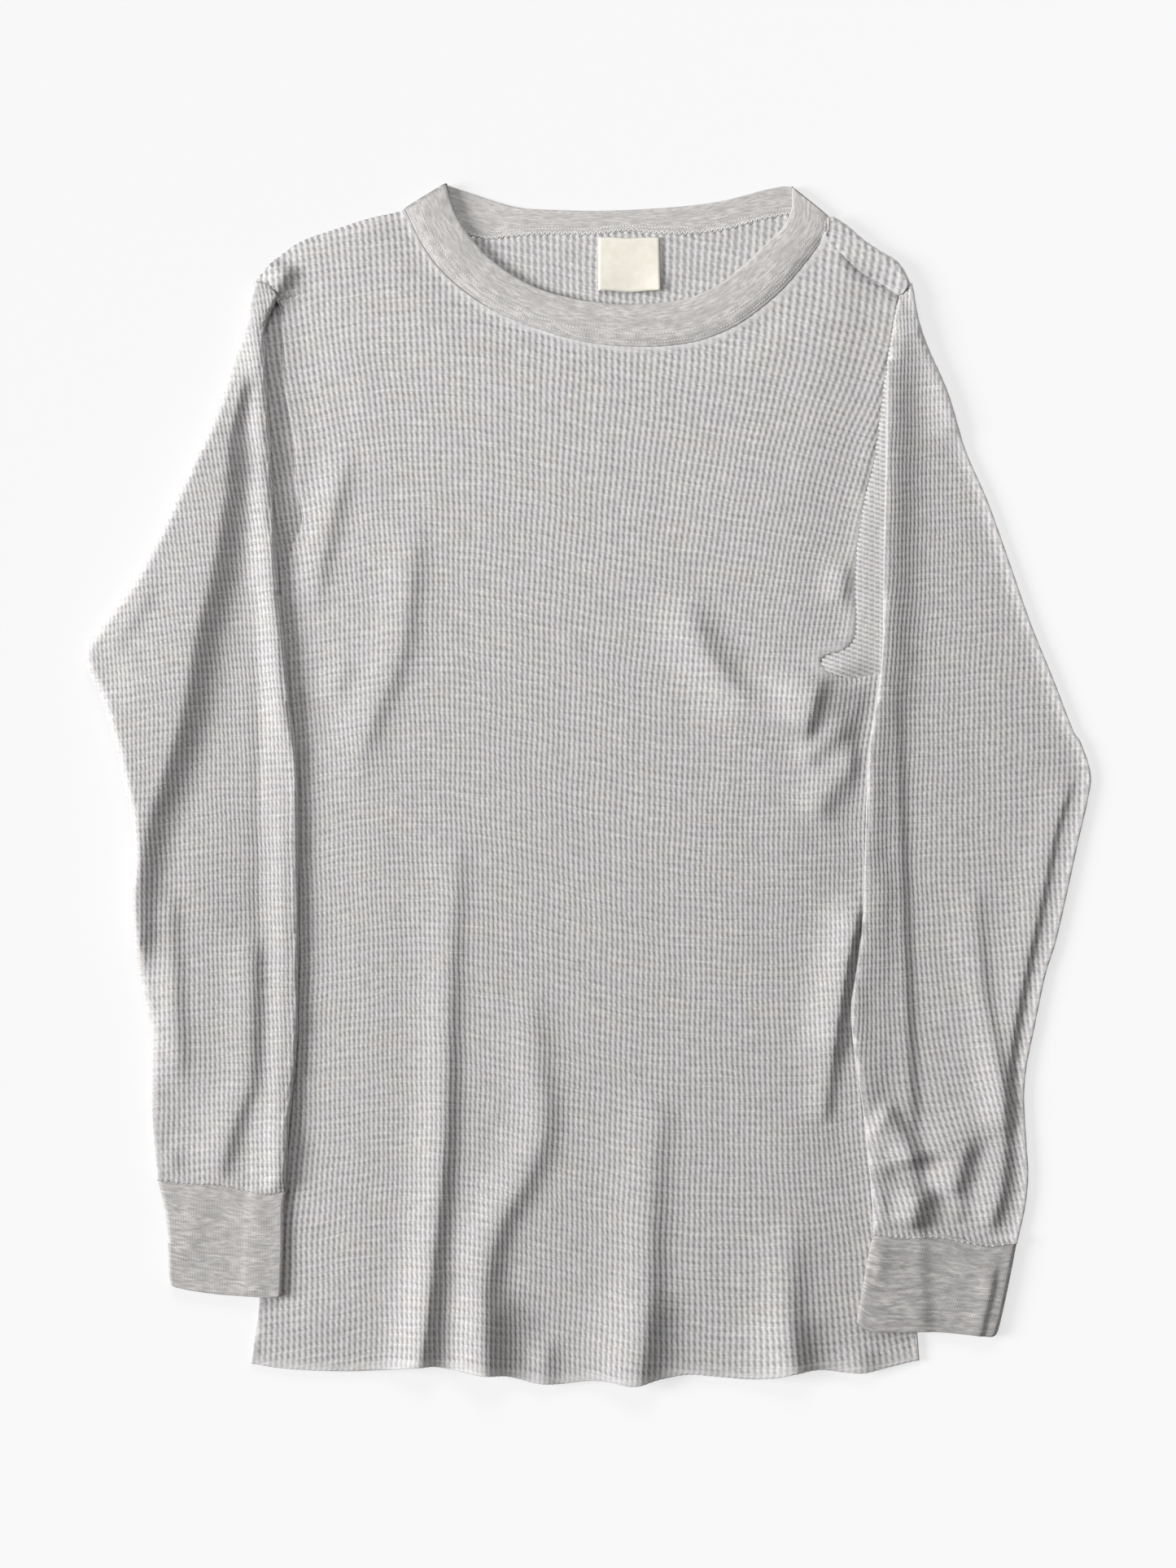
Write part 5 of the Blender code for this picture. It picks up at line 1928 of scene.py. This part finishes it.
@dataclass
class Cuff:
    """A cuff: a flat tube of doubled jersey, turned in at the wrist."""

    side: Side
    jersey: bpy.types.Material
    low_x: Table  # edge at the smaller x, from the sleeve down
    high_x: Table  # edge at the larger x
    seam: Table  # from the smaller to the larger x
    wrist: Table
    body_side: Table
    folds: Sequence[Fold]
    painted_shade_keep: float = 0.93  # 1 for jersey with no painted shade; less darkens it as painted shade for the light's falloff
    top_columns: int = 60
    bottom_columns: int = 30
    turn_columns: int = 8
    rows: int = 34
    tuck: float = 2.5
    edge_turn: float = 2.6
    width: float = 76.0

    def under_level(self, points: Array) -> Array:
        """Height of the cuff's underside."""
        return over_body(self.side, self.body_side, points)

    def place(self, u: Array, v: Array) -> Array:
        """The place u of the way from the larger to the smaller x and v of the way from sleeve to wrist.

        Args:
            u: parts of the way across.
            v: parts of the way down.

        Returns:
            One place for each pair.
        """
        sides = [smooth_line(table, 0.5) for table in (self.high_x, self.low_x)]
        ends = [smooth_line(table, 0.5)[::-1] for table in (self.seam, self.wrist)]

        def read(line: Array, t: Array) -> Array:
            """The point t of the way along a line, past its ends too.

            Args:
                line: the line's points.
                t: parts of the way.

            Returns:
                One point for each part.
            """
            rank = t * (len(line) - 1)
            low, high = line[1] - line[0], line[-1] - line[-2]
            ranks = np.arange(len(line))
            point = np.stack([np.interp(rank, ranks, line[:, k]) for k in (0, 1)], axis=-1)
            before, after = np.minimum(rank, 0)[..., None], np.maximum(rank - len(line) + 1, 0)[..., None]
            return point + before * low + after * high

        right, left = read(sides[0], v), read(sides[1], v)
        top, bottom = read(ends[0], u), read(ends[1], u)
        corners = mix(mix(sides[0][0], sides[1][0], u[..., None]), mix(sides[0][-1], sides[1][-1], u[..., None]),
                      v[..., None])
        return mix(right, left, u[..., None]) + mix(top, bottom, v[..., None]) - corners

    def ring(self, v: float, inset: float) -> tuple[Array, Array]:
        """One ring round the tube, with how far round it each point is, in millimetres.

        Args:
            v: the part of the way from sleeve to wrist.
            inset: how far inside the outer skin the ring is, in millimetres.

        Returns:
            The points of the ring, and how far round it each of them is.
        """
        turn = self.edge_turn / self.width
        flat_top = np.linspace(turn, 1 - turn, self.top_columns)
        flat_bottom = np.linspace(1 - turn, turn, self.bottom_columns)
        angles = np.linspace(0, math.pi, self.turn_columns + 1)[1:-1]
        part = (self.edge_turn - inset) / self.edge_turn
        u = np.concatenate([
            flat_top, 1 - turn + turn * part * np.sin(angles), flat_bottom, turn - turn * part * np.sin(angles)
        ])
        points = self.place(u, np.full(len(u), v))
        low = self.under_level(points)
        high = cuff_height(low) + folded(self.folds, points)
        low, high = low + inset, high - inset
        weight = np.concatenate([
            np.ones(len(flat_top)), (1 + np.cos(angles)) / 2, np.zeros(len(flat_bottom)), (1 - np.cos(angles)) / 2
        ])
        ring = np.column_stack([points, mix(low, high, weight)])
        steps = np.hypot(*np.diff(points, axis=0).T)
        steps = np.maximum(steps, self.edge_turn * math.pi / self.turn_columns * 0.9)
        return ring, np.concatenate([[0.0], np.cumsum(steps)])

    def build(self) -> bpy.types.Object:
        """Builds the cuff.

        Returns:
            The piece.
        """
        name = f"{self.side.name.lower()}_cuff"
        length = abs(self.seam[0][1] - self.wrist[0][1])
        lines = [(v, 0.0) for v in np.linspace(-self.tuck / length, 1 - 0.9 / length, self.rows)]
        wall = BAND_WALL / 2
        for angle in np.linspace(0, math.pi, 6)[1:]:
            lines.append((1 + wall * (math.sin(angle) - 1) / length, wall * (1 - math.cos(angle))))
        lines += [(v, BAND_WALL) for v in np.linspace(1 - 0.9 / length, 0.02, 12)[1:]]
        rings, flats = [], []
        down = 0.0
        previous = lines[0][0]
        for v, inset in lines:
            ring, around = self.ring(v, inset)
            down += max(abs(v - previous) * length, 0.4)
            previous = v
            rings.append(ring)
            flats.append(np.column_stack([around, np.full(len(around), down)]))
        cloth = ClothMesh(f"{name}_jersey")
        cloth.add_grid(np.array(rings), np.array(flats), self.painted_shade_keep, island=0, is_ring=True)
        piece = cloth.make()
        piece.data.materials.append(self.jersey)
        register(piece, [name])
        return piece


# -------- neckband and label


Column = tuple[Array, Array, float, tuple[float, float]]


@dataclass
class Neckband:
    """Neckband of doubled jersey: one closed strip, its front half above its back half."""

    jersey: bpy.types.Material
    radius: float = 2.6  # half of the height from the underside of its back half to the top of its front half
    width: float = 23.0
    half_length: float = 300.0
    step: float = 1.6
    fold_columns: int = 9
    across_rows: int = 18
    crown: float = 0.5
    seam_dip: float = 1.1
    right_lift: float = 3.4  # how far the front half stands off at the right shoulder
    right_reach: float = 60.0
    left_out: tuple[float, float] = (0.64, 0.77)  # the way that the fold at the left shoulder faces
    right_out: tuple[float, float] = (-0.9, 0.42)
    bend: float = 0.55  # how far a fold stands out, for its radius
    corner: float = 0.86  # how much of the step from front to back is made before the left fold
    corner_columns: int = 8

    def columns(self) -> list[Column]:
        """The seam point, free point, turn and outward direction of every column round the band.

        Returns:
            The columns in order, from the right shoulder over the front.
        """
        count = int(self.half_length / self.step)

        def spaced(table: Table) -> Array:
            """A line as that many even steps."""
            line = smooth_line(table, 0.4)
            rank = np.linspace(0, len(line) - 1, count + 1)
            return np.column_stack([np.interp(rank, np.arange(len(line)), line[:, k]) for k in (0, 1)])

        front = list(zip(spaced(NECKLINE), spaced(FRONT_BAND_EDGE)))
        back = list(zip(spaced(BACK_NECKLINE), spaced(BACK_BAND_EDGE)))
        turns = np.linspace(math.pi, 0, self.fold_columns)
        columns = [(seam, free, math.pi, self.left_out) for seam, free in front[1:-1]]
        for part in np.linspace(0, self.corner, self.corner_columns):
            seam, free = (mix(front[-1][k], back[-1][k], part) for k in (0, 1))
            columns.append((seam, free, math.pi, self.left_out))
        columns += [(*back[-1], turn, self.left_out) for turn in turns]
        columns += [(seam, free, 0.0, self.left_out) for seam, free in back[-2:0:-1]]
        columns += [(*back[0], turn, self.right_out) for turn in turns[::-1]]
        return columns

    def profile(self, width: float) -> list[tuple[float, float, float]]:
        """Points across the band as (part of its width, depth below the outer skin, millimetres across).

        Args:
            width: the band's width.

        Returns:
            The points in order, from the seam over the outer skin.
        """
        wall = BAND_WALL / 2
        points = []
        for angle in np.linspace(0.15 * math.pi, math.pi / 2, 4)[:-1]:
            points.append((-(0.9 * math.cos(angle)) / width, BAND_WALL * 0.7 * (1 - math.sin(angle)), 0.0))
        parts = np.linspace(0.0, 1 - wall / width, self.across_rows)
        points += [(part, 0.0, part * width) for part in parts]
        for angle in np.linspace(0, math.pi, 6)[1:]:
            points.append((1 + wall * (math.sin(angle) - 1) / width, wall * (1 - math.cos(angle)), width + angle))
        points += [(part, BAND_WALL, 2 * width + 3 - part * width) for part in parts[::-1][1:]]
        return points + [(-1.3 / width, BAND_WALL * 0.7, 2 * width + 4)]

    def place(self, column: Column, part: float, depth: float = 0.0) -> tuple[float, float, float]:
        """A point of the band, at a part of its width and a depth below its outer skin.

        Args:
            column: one of the band's columns.
            part: the part of the width, from the seam.
            depth: how far below the outer skin.

        Returns:
            The point.
        """
        seam, free, turn, out = column
        width = math.dist(seam, free)
        if turn > math.pi / 2:
            depth = depth + self.seam_dip * (1 - smooth_step(max(part, 0) * width / 4.0))
            depth = depth - self.crown * math.sin(math.pi * min(max(part, 0), 1))
        radius = self.radius - depth
        point = mix(seam, free, part * self.width / width if part < 0 else part)
        if 0 < turn < math.pi:
            point = point + self.bend * (radius * math.sin(turn) - self.radius) * np.array(out)
        to_right = math.dist(point, NECKLINE[0]) / self.right_reach
        lift = self.right_lift * math.exp(-(to_right**2)) * (1 - math.cos(turn)) / 2
        return (*point, self.radius - radius * math.cos(turn) + lift)

    def row(self, part: float, is_front: bool, step_in: int = 4) -> Array:
        """A line along the skin of the front half, or the inner side of the back half.

        Args:
            part: the part of the band's width.
            is_front: whether it is on the front half.
            step_in: how many columns are left out at each end.

        Returns:
            The points of the line.
        """
        end = math.pi if is_front else 0.0
        columns = [column for column in self.columns()[:-self.fold_columns] if column[2] == end]
        columns = columns[step_in:-step_in]
        depth = -0.1 if is_front else BAND_WALL + 0.1
        return np.array([self.place(column, part, depth) for column in columns])

    def build(self) -> bpy.types.Object:
        """Builds the neckband.

        Returns:
            The piece.
        """
        columns = self.columns()
        profile = self.profile(self.width)
        rows = np.zeros((len(profile), len(columns), 3))
        flat = np.zeros((len(profile), len(columns), 2))
        along = 0.0
        before = None
        for i, (seam, free, turn, out) in enumerate(columns):
            middle = (seam + free) / 2
            if before is not None:
                along += max(math.dist(before, middle), self.radius * math.pi / self.fold_columns)
            before = middle
            for j, (part, depth, across) in enumerate(profile):
                rows[j, i] = self.place((seam, free, turn, out), part, depth)
                flat[j, i] = (along, across)
        cloth = ClothMesh("neckband_jersey")
        cloth.add_grid(rows, flat, 1.0, island=0, is_ring=True)
        piece = cloth.make()
        piece.data.materials.append(self.jersey)
        register(piece, ["neckband"])
        return piece


@dataclass
class Label:
    """Blank woven label, sewn in at its top under the back neck seam."""

    weave: bpy.types.Material
    left: float = 5.5
    right: float = 41.5
    bottom: float = 291.0
    top: float = 322.3
    wall: float = 0.6
    curl: float = 2.0
    lift: float = 2.5
    columns: int = 24
    rows: int = 20

    def build(self) -> bpy.types.Object:
        """Builds the label.

        Returns:
            The piece.
        """
        bm = bmesh.new()
        u, v = np.meshgrid(np.linspace(0, 1, self.columns + 1), np.linspace(0, 1, self.rows + 1))
        x, y = mix(self.left, self.right, u), mix(self.bottom, self.top, v)
        x = x + 0.5 * (1 - v) * (u - 0.3)
        y = y - 0.5 * np.sin(math.pi * u) * (1 - v) + 0.3 * np.sin(9 * u)
        z = self.lift + self.curl * (1 - v) ** 2 * (0.35 + np.abs(2 * u - 1) ** 2 * (0.5 + 0.5 * u))
        z = z + 0.25 * np.sin(5 * u + 1) * (1 - v)
        points = np.stack([x, y, z], axis=-1).reshape(-1, 3)
        verts = [bm.verts.new(point * MM) for point in points]
        width = self.columns + 1
        for j in range(self.rows):
            for i in range(self.columns):
                c = j * width + i
                bm.faces.new([verts[c], verts[c + 1], verts[c + width + 1], verts[c + width]])
        mesh = bpy.data.meshes.new("neck_label_weave")
        bm.to_mesh(mesh)
        bm.free()
        mesh.shade_smooth()
        piece = put("neck_label_weave", mesh)
        solid = piece.modifiers.new("wall", "SOLIDIFY")
        solid.thickness = self.wall * MM
        solid.offset = -1
        mesh.materials.append(self.weave)
        register(piece, ["neck_label"])
        return piece


@dataclass
class Sewing:
    """The thread that shows: along the neckband's seams, and two small loose ends on the front."""

    thread: bpy.types.Material
    body: Body
    band: Neckband

    def on_front(self, table: Table, step: float = 1.0, over: float = 0.15) -> Array:
        """A line laid on the front panel.

        Args:
            table: the line's points as seen from above.
            step: between its points.
            over: how far above the skin it lies.

        Returns:
            The points of the line.
        """
        line = smooth_line(table, step)
        return np.column_stack([line, self.body.front_level(line) + over])

    def build(self) -> bpy.types.Object:
        """Lays all the rows and joins them.

        Returns:
            The piece.
        """
        rows = [
            StitchRow(self.band.row(0.07, True), pitch=1.9, length=1.5, thickness=0.36, uneven=8),
            StitchRow(self.band.row(0.27, True), pitch=1.9, length=1.5, thickness=0.36, uneven=8),
            StitchRow(self.band.row(0.02, False, 1), pitch=1.5, length=2.7, thickness=0.5, turn=48),
            StitchRow(self.band.row(0.20, False, 1), pitch=1.9, length=1.5, thickness=0.36),
            StitchRow(self.on_front([(-59, -195), (-57, -193.5), (-55, -195), (-55.5, -197)]), pitch=0.5,
                      length=0.8, thickness=0.3, uneven=0),
            StitchRow(self.on_front([(-35.5, 275), (-31, 272.5), (-25.5, 270.5)], over=0.6), pitch=0.5,
                      length=0.8, thickness=0.45, uneven=0),
        ]
        piece = join_pieces("sewing", [row.lay(f"row_{i}", self.thread) for i, row in enumerate(rows)])
        register(piece)
        return piece


# -------- studio


@dataclass
class Studio:
    """Surface, light and camera: seen straight from above, lit low from the right sleeve's side."""

    centre_x: float = -0.00072
    view_height: float = 0.9245
    lens: float = 85.0
    sensor: float = 36.0
    top_level: float = 0.004
    world: float = 0.18
    half_width: float = 6.0  # of the surface
    surface: float = -0.0004
    lights: Sequence[Softbox] = (
        Softbox("key", power=352.0, size=2.4, distance=5.0, from_zenith=60.0, heading=180.0),
        Softbox("fill", power=14.0, size=0.9, distance=1.8, from_zenith=48.0, heading=100.0),
    )

    def build(self) -> None:
        """Builds the studio."""
        mesh = bpy.data.meshes.new("table_top")
        half = self.half_width
        corners = [(-half, -half), (half, -half), (half, half), (-half, half)]
        mesh.from_pydata([(x, y, self.surface) for x, y in corners], [], [(0, 1, 2, 3)])
        mesh.materials.append(TableTop(self.lights, self.world).material())
        put("table_top", mesh)
        scene = bpy.context.scene
        scene.view_settings.view_transform = "Standard"
        world = bpy.data.worlds.new("studio")
        world.use_nodes = True
        background = world.node_tree.nodes["Background"]
        background.inputs["Color"].default_value = (1.0, 1.0, 1.0, 1.0)
        background.inputs["Strength"].default_value = self.world
        scene.world = world
        for lamp in self.lights:
            lamp.build()
        camera_data = bpy.data.cameras.new("camera")
        camera_data.lens = self.lens
        camera_data.sensor_width = self.sensor
        camera = put("camera", camera_data)
        distance = self.lens * self.view_height / self.sensor
        camera.location = (self.centre_x, 0.0, distance + self.top_level)
        scene.camera = camera


# -------- the whole top


def right_sleeve(knit: bpy.types.Material) -> Sleeve:
    """The right sleeve's lines and folds.

    Args:
        knit: its material.

    Returns:
        The sleeve, not yet built.
    """
    return Sleeve(
        side=Side.RIGHT, knit=knit, grain=RIGHT_GRAIN, underarm=113.0,
        inner=[
            (-176.6, -239), (-178, -233), (-175.7, -195), (-171.8, -154), (-170.9, -104), (-170.9, -18),
            (-171.8, 16), (-175.7, 49), (-178.6, 79), (-181.4, 106), (-183.4, 134), (-185.3, 164),
            (-186.7, 194), (-188.6, 225), (-190, 253), (-190, 270), (-182.5, 287.5),
        ],
        outer=[
            (-254.9, -233.8), (-257.3, -210), (-258.7, -186), (-257.8, -150), (-259.7, -138), (-265, -114),
            (-268.8, -90), (-270.2, -66), (-268.3, -42), (-270.2, -18), (-273, -6), (-275.5, 6), (-278, 18),
            (-281.8, 30), (-285, 42), (-289.4, 54), (-295.2, 66), (-297.2, 78), (-290.4, 90), (-281.8, 102),
            (-273, 114), (-265.4, 126), (-253, 150), (-241.9, 174), (-230, 198), (-219.8, 222), (-211.2, 246),
            (-202.6, 270), (-200.6, 282), (-196.8, 296.2),
        ],
        cuff_seam=[(-254.9, -233.8), (-240.5, -235.7), (-223.7, -236.6), (-215, -237.3), (-199, -241),
                   (-187, -242), (-176.6, -239)],
        shoulder=[(-182.5, 287.5), (-188.5, 294.2), (-196.8, 296.2)],
        armhole=RIGHT_ARMHOLE[:-2], body_side=RIGHT_SIDE, top_rise=38.0, top_height=10.6,
        inner_height=11.6, plateau=5.2, ridge_at=4.4, inner_reach=7.0, flank=9.5, outer_keep=0.5,
        outer_height=5.6, outer_reach=12.0, strip_fall=2.6, strip_level=3.4,
        folds=[
            Fold([(-266, -114), (-268, -61), (-262, -22), (-252.5, 6), (-241, 44), (-233, 88), (-223.5, 126),
                  (-216.5, 165), (-211, 196), (-208, 212)], 9.8, reach=80, steep=11.5, fade=30),
            Fold([(-218, 172), (-211.5, 205), (-206, 232), (-203.5, 250)], 7.4, reach=60, steep=5.5, fade=20),
            Fold([(-240, -226), (-238, -120), (-236, -50), (-228, 20)], 4.8, reach=40, steep=46, fade=90),
            Fold([(-179, -232), (-174, -150), (-173, -60), (-177, 50)], -3.4, reach=8, fade=60),
            Fold([(-193, -180), (-192, -66), (-193, 30), (-195, 126)], -1.0, reach=5),
            Fold([(-223, -243), (-211, -202), (-200.5, -174), (-198, -138), (-197, -80)], 3.2, reach=14, steep=6.5),
            Fold([(-241, -183), (-245, -114), (-249, -56)], 2.0, reach=8, steep=6),
            Fold([(-287, 75), (-270, 96), (-252, 130)], 1.4, reach=9, steep=6),
            Fold([(-281, 45), (-287, 78)], -1.2, reach=9),
            Fold([(-246, -232), (-244, -212)], 1.2, reach=7, steep=5),
        ],
    )


def left_sleeve(knit: bpy.types.Material) -> Sleeve:
    """The left sleeve's lines and folds.

    Args:
        knit: its material.

    Returns:
        The sleeve, not yet built.
    """
    return Sleeve(
        side=Side.LEFT, knit=knit, grain=LEFT_GRAIN, underarm=65.0,
        inner=[
            (167.5, -266), (166, -240), (164.6, -224), (161.3, -194), (157, -164), (154, -134), (158, -104),
            (161.5, -70), (162.8, -18), (164.2, 12),
            (166.2, 32), (168.6, 46), (171.4, 63), (172.8, 86), (173.3, 126), (174.2, 174), (175.7, 246),
            (177, 251), (179.5, 272.6), (183.5, 291),
        ],
        outer=[
            (252.5, -271), (257.3, -250), (259.2, -231), (258.2, -213), (256.8, -186), (258.2, -167),
            (263, -143), (269.3, -113), (275.5, -93), (282.2, -64), (288.5, -35), (294.7, -7.7), (295.9, 7),
            (290, 25), (285.6, 32), (274, 62), (261, 94), (248.2, 130.6), (235.2, 167), (222.2, 197),
            (211.7, 231), (200.2, 257), (194.4, 274), (190.5, 296),
        ],
        cuff_seam=[(167.5, -266), (187.7, -268), (206, -268), (224, -271.5), (237, -273), (246, -272), (252.5, -271)],
        shoulder=[(183.5, 291), (187, 295), (190.5, 296)],
        armhole=LEFT_ARMHOLE, body_side=LEFT_SIDE, strip_relief=0.8, strip_level=4.5, strip_dip=0.4,
        strip_grain=CrossGrain(2.9, 3.4, -0.35), ridge_at=2.4, inner_reach=8.0, flank=14.0, plateau=2.8,
        inner_height=8.0, inner_turn=0.7, outer_keep=0.5, top_height=7.0,
        folds=[
            Fold([(174, -187), (173.5, -138), (175, -90), (176, -40)], 1.5, reach=7, steep=8),
            Fold([(233, -268), (243, -234), (243, -186), (232.5, -128), (228.5, -90), (226.5, -56)],
                 4.6, reach=12, steep=5, end_height=1.2, fade=16),
            Fold([(247, -215), (246, -190), (250, -150), (258, -108), (266, -72), (276, -24), (288, 10)],
                 3.6, reach=13, steep=1.7, end_height=2.0),
            Fold([(191, -228), (184, -208), (177, -197), (168, -190)], 5.4, reach=15, steep=7, fade=10),
            Fold([(180, -230), (200, -216), (219, -210), (231, -220)], 5.0, reach=14, steep=7, fade=14),
            Fold([(188, -268), (191, -252), (197, -233)], 9.0, reach=12, steep=9.5, fade=12),
            Fold([(211, -246), (217, -228), (220, -210)], 6.0, reach=13, steep=8, fade=10),
            Fold([(194, 284), (200, 262), (211, 235), (223, 198)], 4.5, reach=16, steep=14, fade=18),
            Fold([(214, -262), (219, -238)], 2.4, reach=9, steep=7, fade=10),
            Fold([(172, -262), (170, -236)], 1.6, reach=6, steep=4, fade=10),
        ],
    )


def right_cuff(jersey: bpy.types.Material) -> Cuff:
    """The right cuff's lines and folds.

    Args:
        jersey: its material.

    Returns:
        The cuff, not yet built.
    """
    return Cuff(
        side=Side.RIGHT, jersey=jersey, body_side=RIGHT_SIDE,
        low_x=[(-254.4, -234), (-251, -248), (-248.8, -263), (-248.2, -285), (-247, -294.5)],
        high_x=[(-177.5, -238.5), (-179.5, -246), (-180, -269), (-181.4, -301)],
        seam=[(-254.4, -234), (-240.5, -235.7), (-215, -237.3), (-199, -241), (-187, -242), (-177.5, -238.5)],
        wrist=[(-247, -294.5), (-244, -296.5), (-232, -299), (-215.5, -301), (-199, -302), (-185, -302.5),
               (-181.4, -301)],
        folds=[
            Fold([(-203.5, -302), (-202, -270), (-203, -246)], 0.5, reach=5, steep=2, from_hem=True),
            Fold([(-246, -290), (-232, -262), (-228, -240)], 0.7, reach=8, steep=6),
            Fold([(-214, -250), (-216, -262)], -0.5, reach=6),
        ],
    )


def left_cuff(jersey: bpy.types.Material) -> Cuff:
    """The left cuff's lines and folds.

    Args:
        jersey: its material.

    Returns:
        The cuff, not yet built.
    """
    return Cuff(
        # the left cuff gets more painted shade, for the light's greater falloff there
        side=Side.LEFT, jersey=jersey, body_side=LEFT_SIDE, painted_shade_keep=0.87,
        low_x=[(168, -266.5), (165.6, -272), (159.8, -303), (157.4, -317.3)],
        high_x=[(252, -271.8), (248.5, -290), (244.3, -310), (241, -323), (238.5, -326)],
        seam=[(168, -266.5), (187.7, -268), (206, -268), (224, -271.5), (237, -273), (252, -271.8)],
        wrist=[(157.4, -317.3), (165.6, -322.5), (184, -323), (206, -323), (233, -325.6), (238.5, -326)],
        folds=[
            Fold([(230, -325), (236, -300), (241, -273)], 1.9, reach=7, steep=1.6, from_hem=True),
            Fold([(171, -270), (170, -296)], 1.2, reach=6, steep=3, fade=8),
            Fold([(194, -322), (196, -304)], 0.8, reach=6, steep=4, fade=6),
            Fold([(176, -279), (202, -283), (226, -280)], -0.5, reach=6),
        ],
    )


def main() -> None:
    """Builds the whole top, piece by piece, and the studio round it."""
    logging.basicConfig(level=logging.INFO, format="%(name)s: %(message)s")
    knit, jersey = WaffleKnit().material(), BandJersey().material()
    weave = LabelWeave().material()
    body = Body(knit)
    body.back()
    body.front()
    right_sleeve(knit).build()
    left_sleeve(knit).build()
    right_cuff(jersey).build()
    left_cuff(jersey).build()
    band = Neckband(jersey)
    band.build()
    Label(weave).build()
    Sewing(SewingThread().material(), body, band).build()
    Studio().build()


if __name__ == "__main__":
    main()
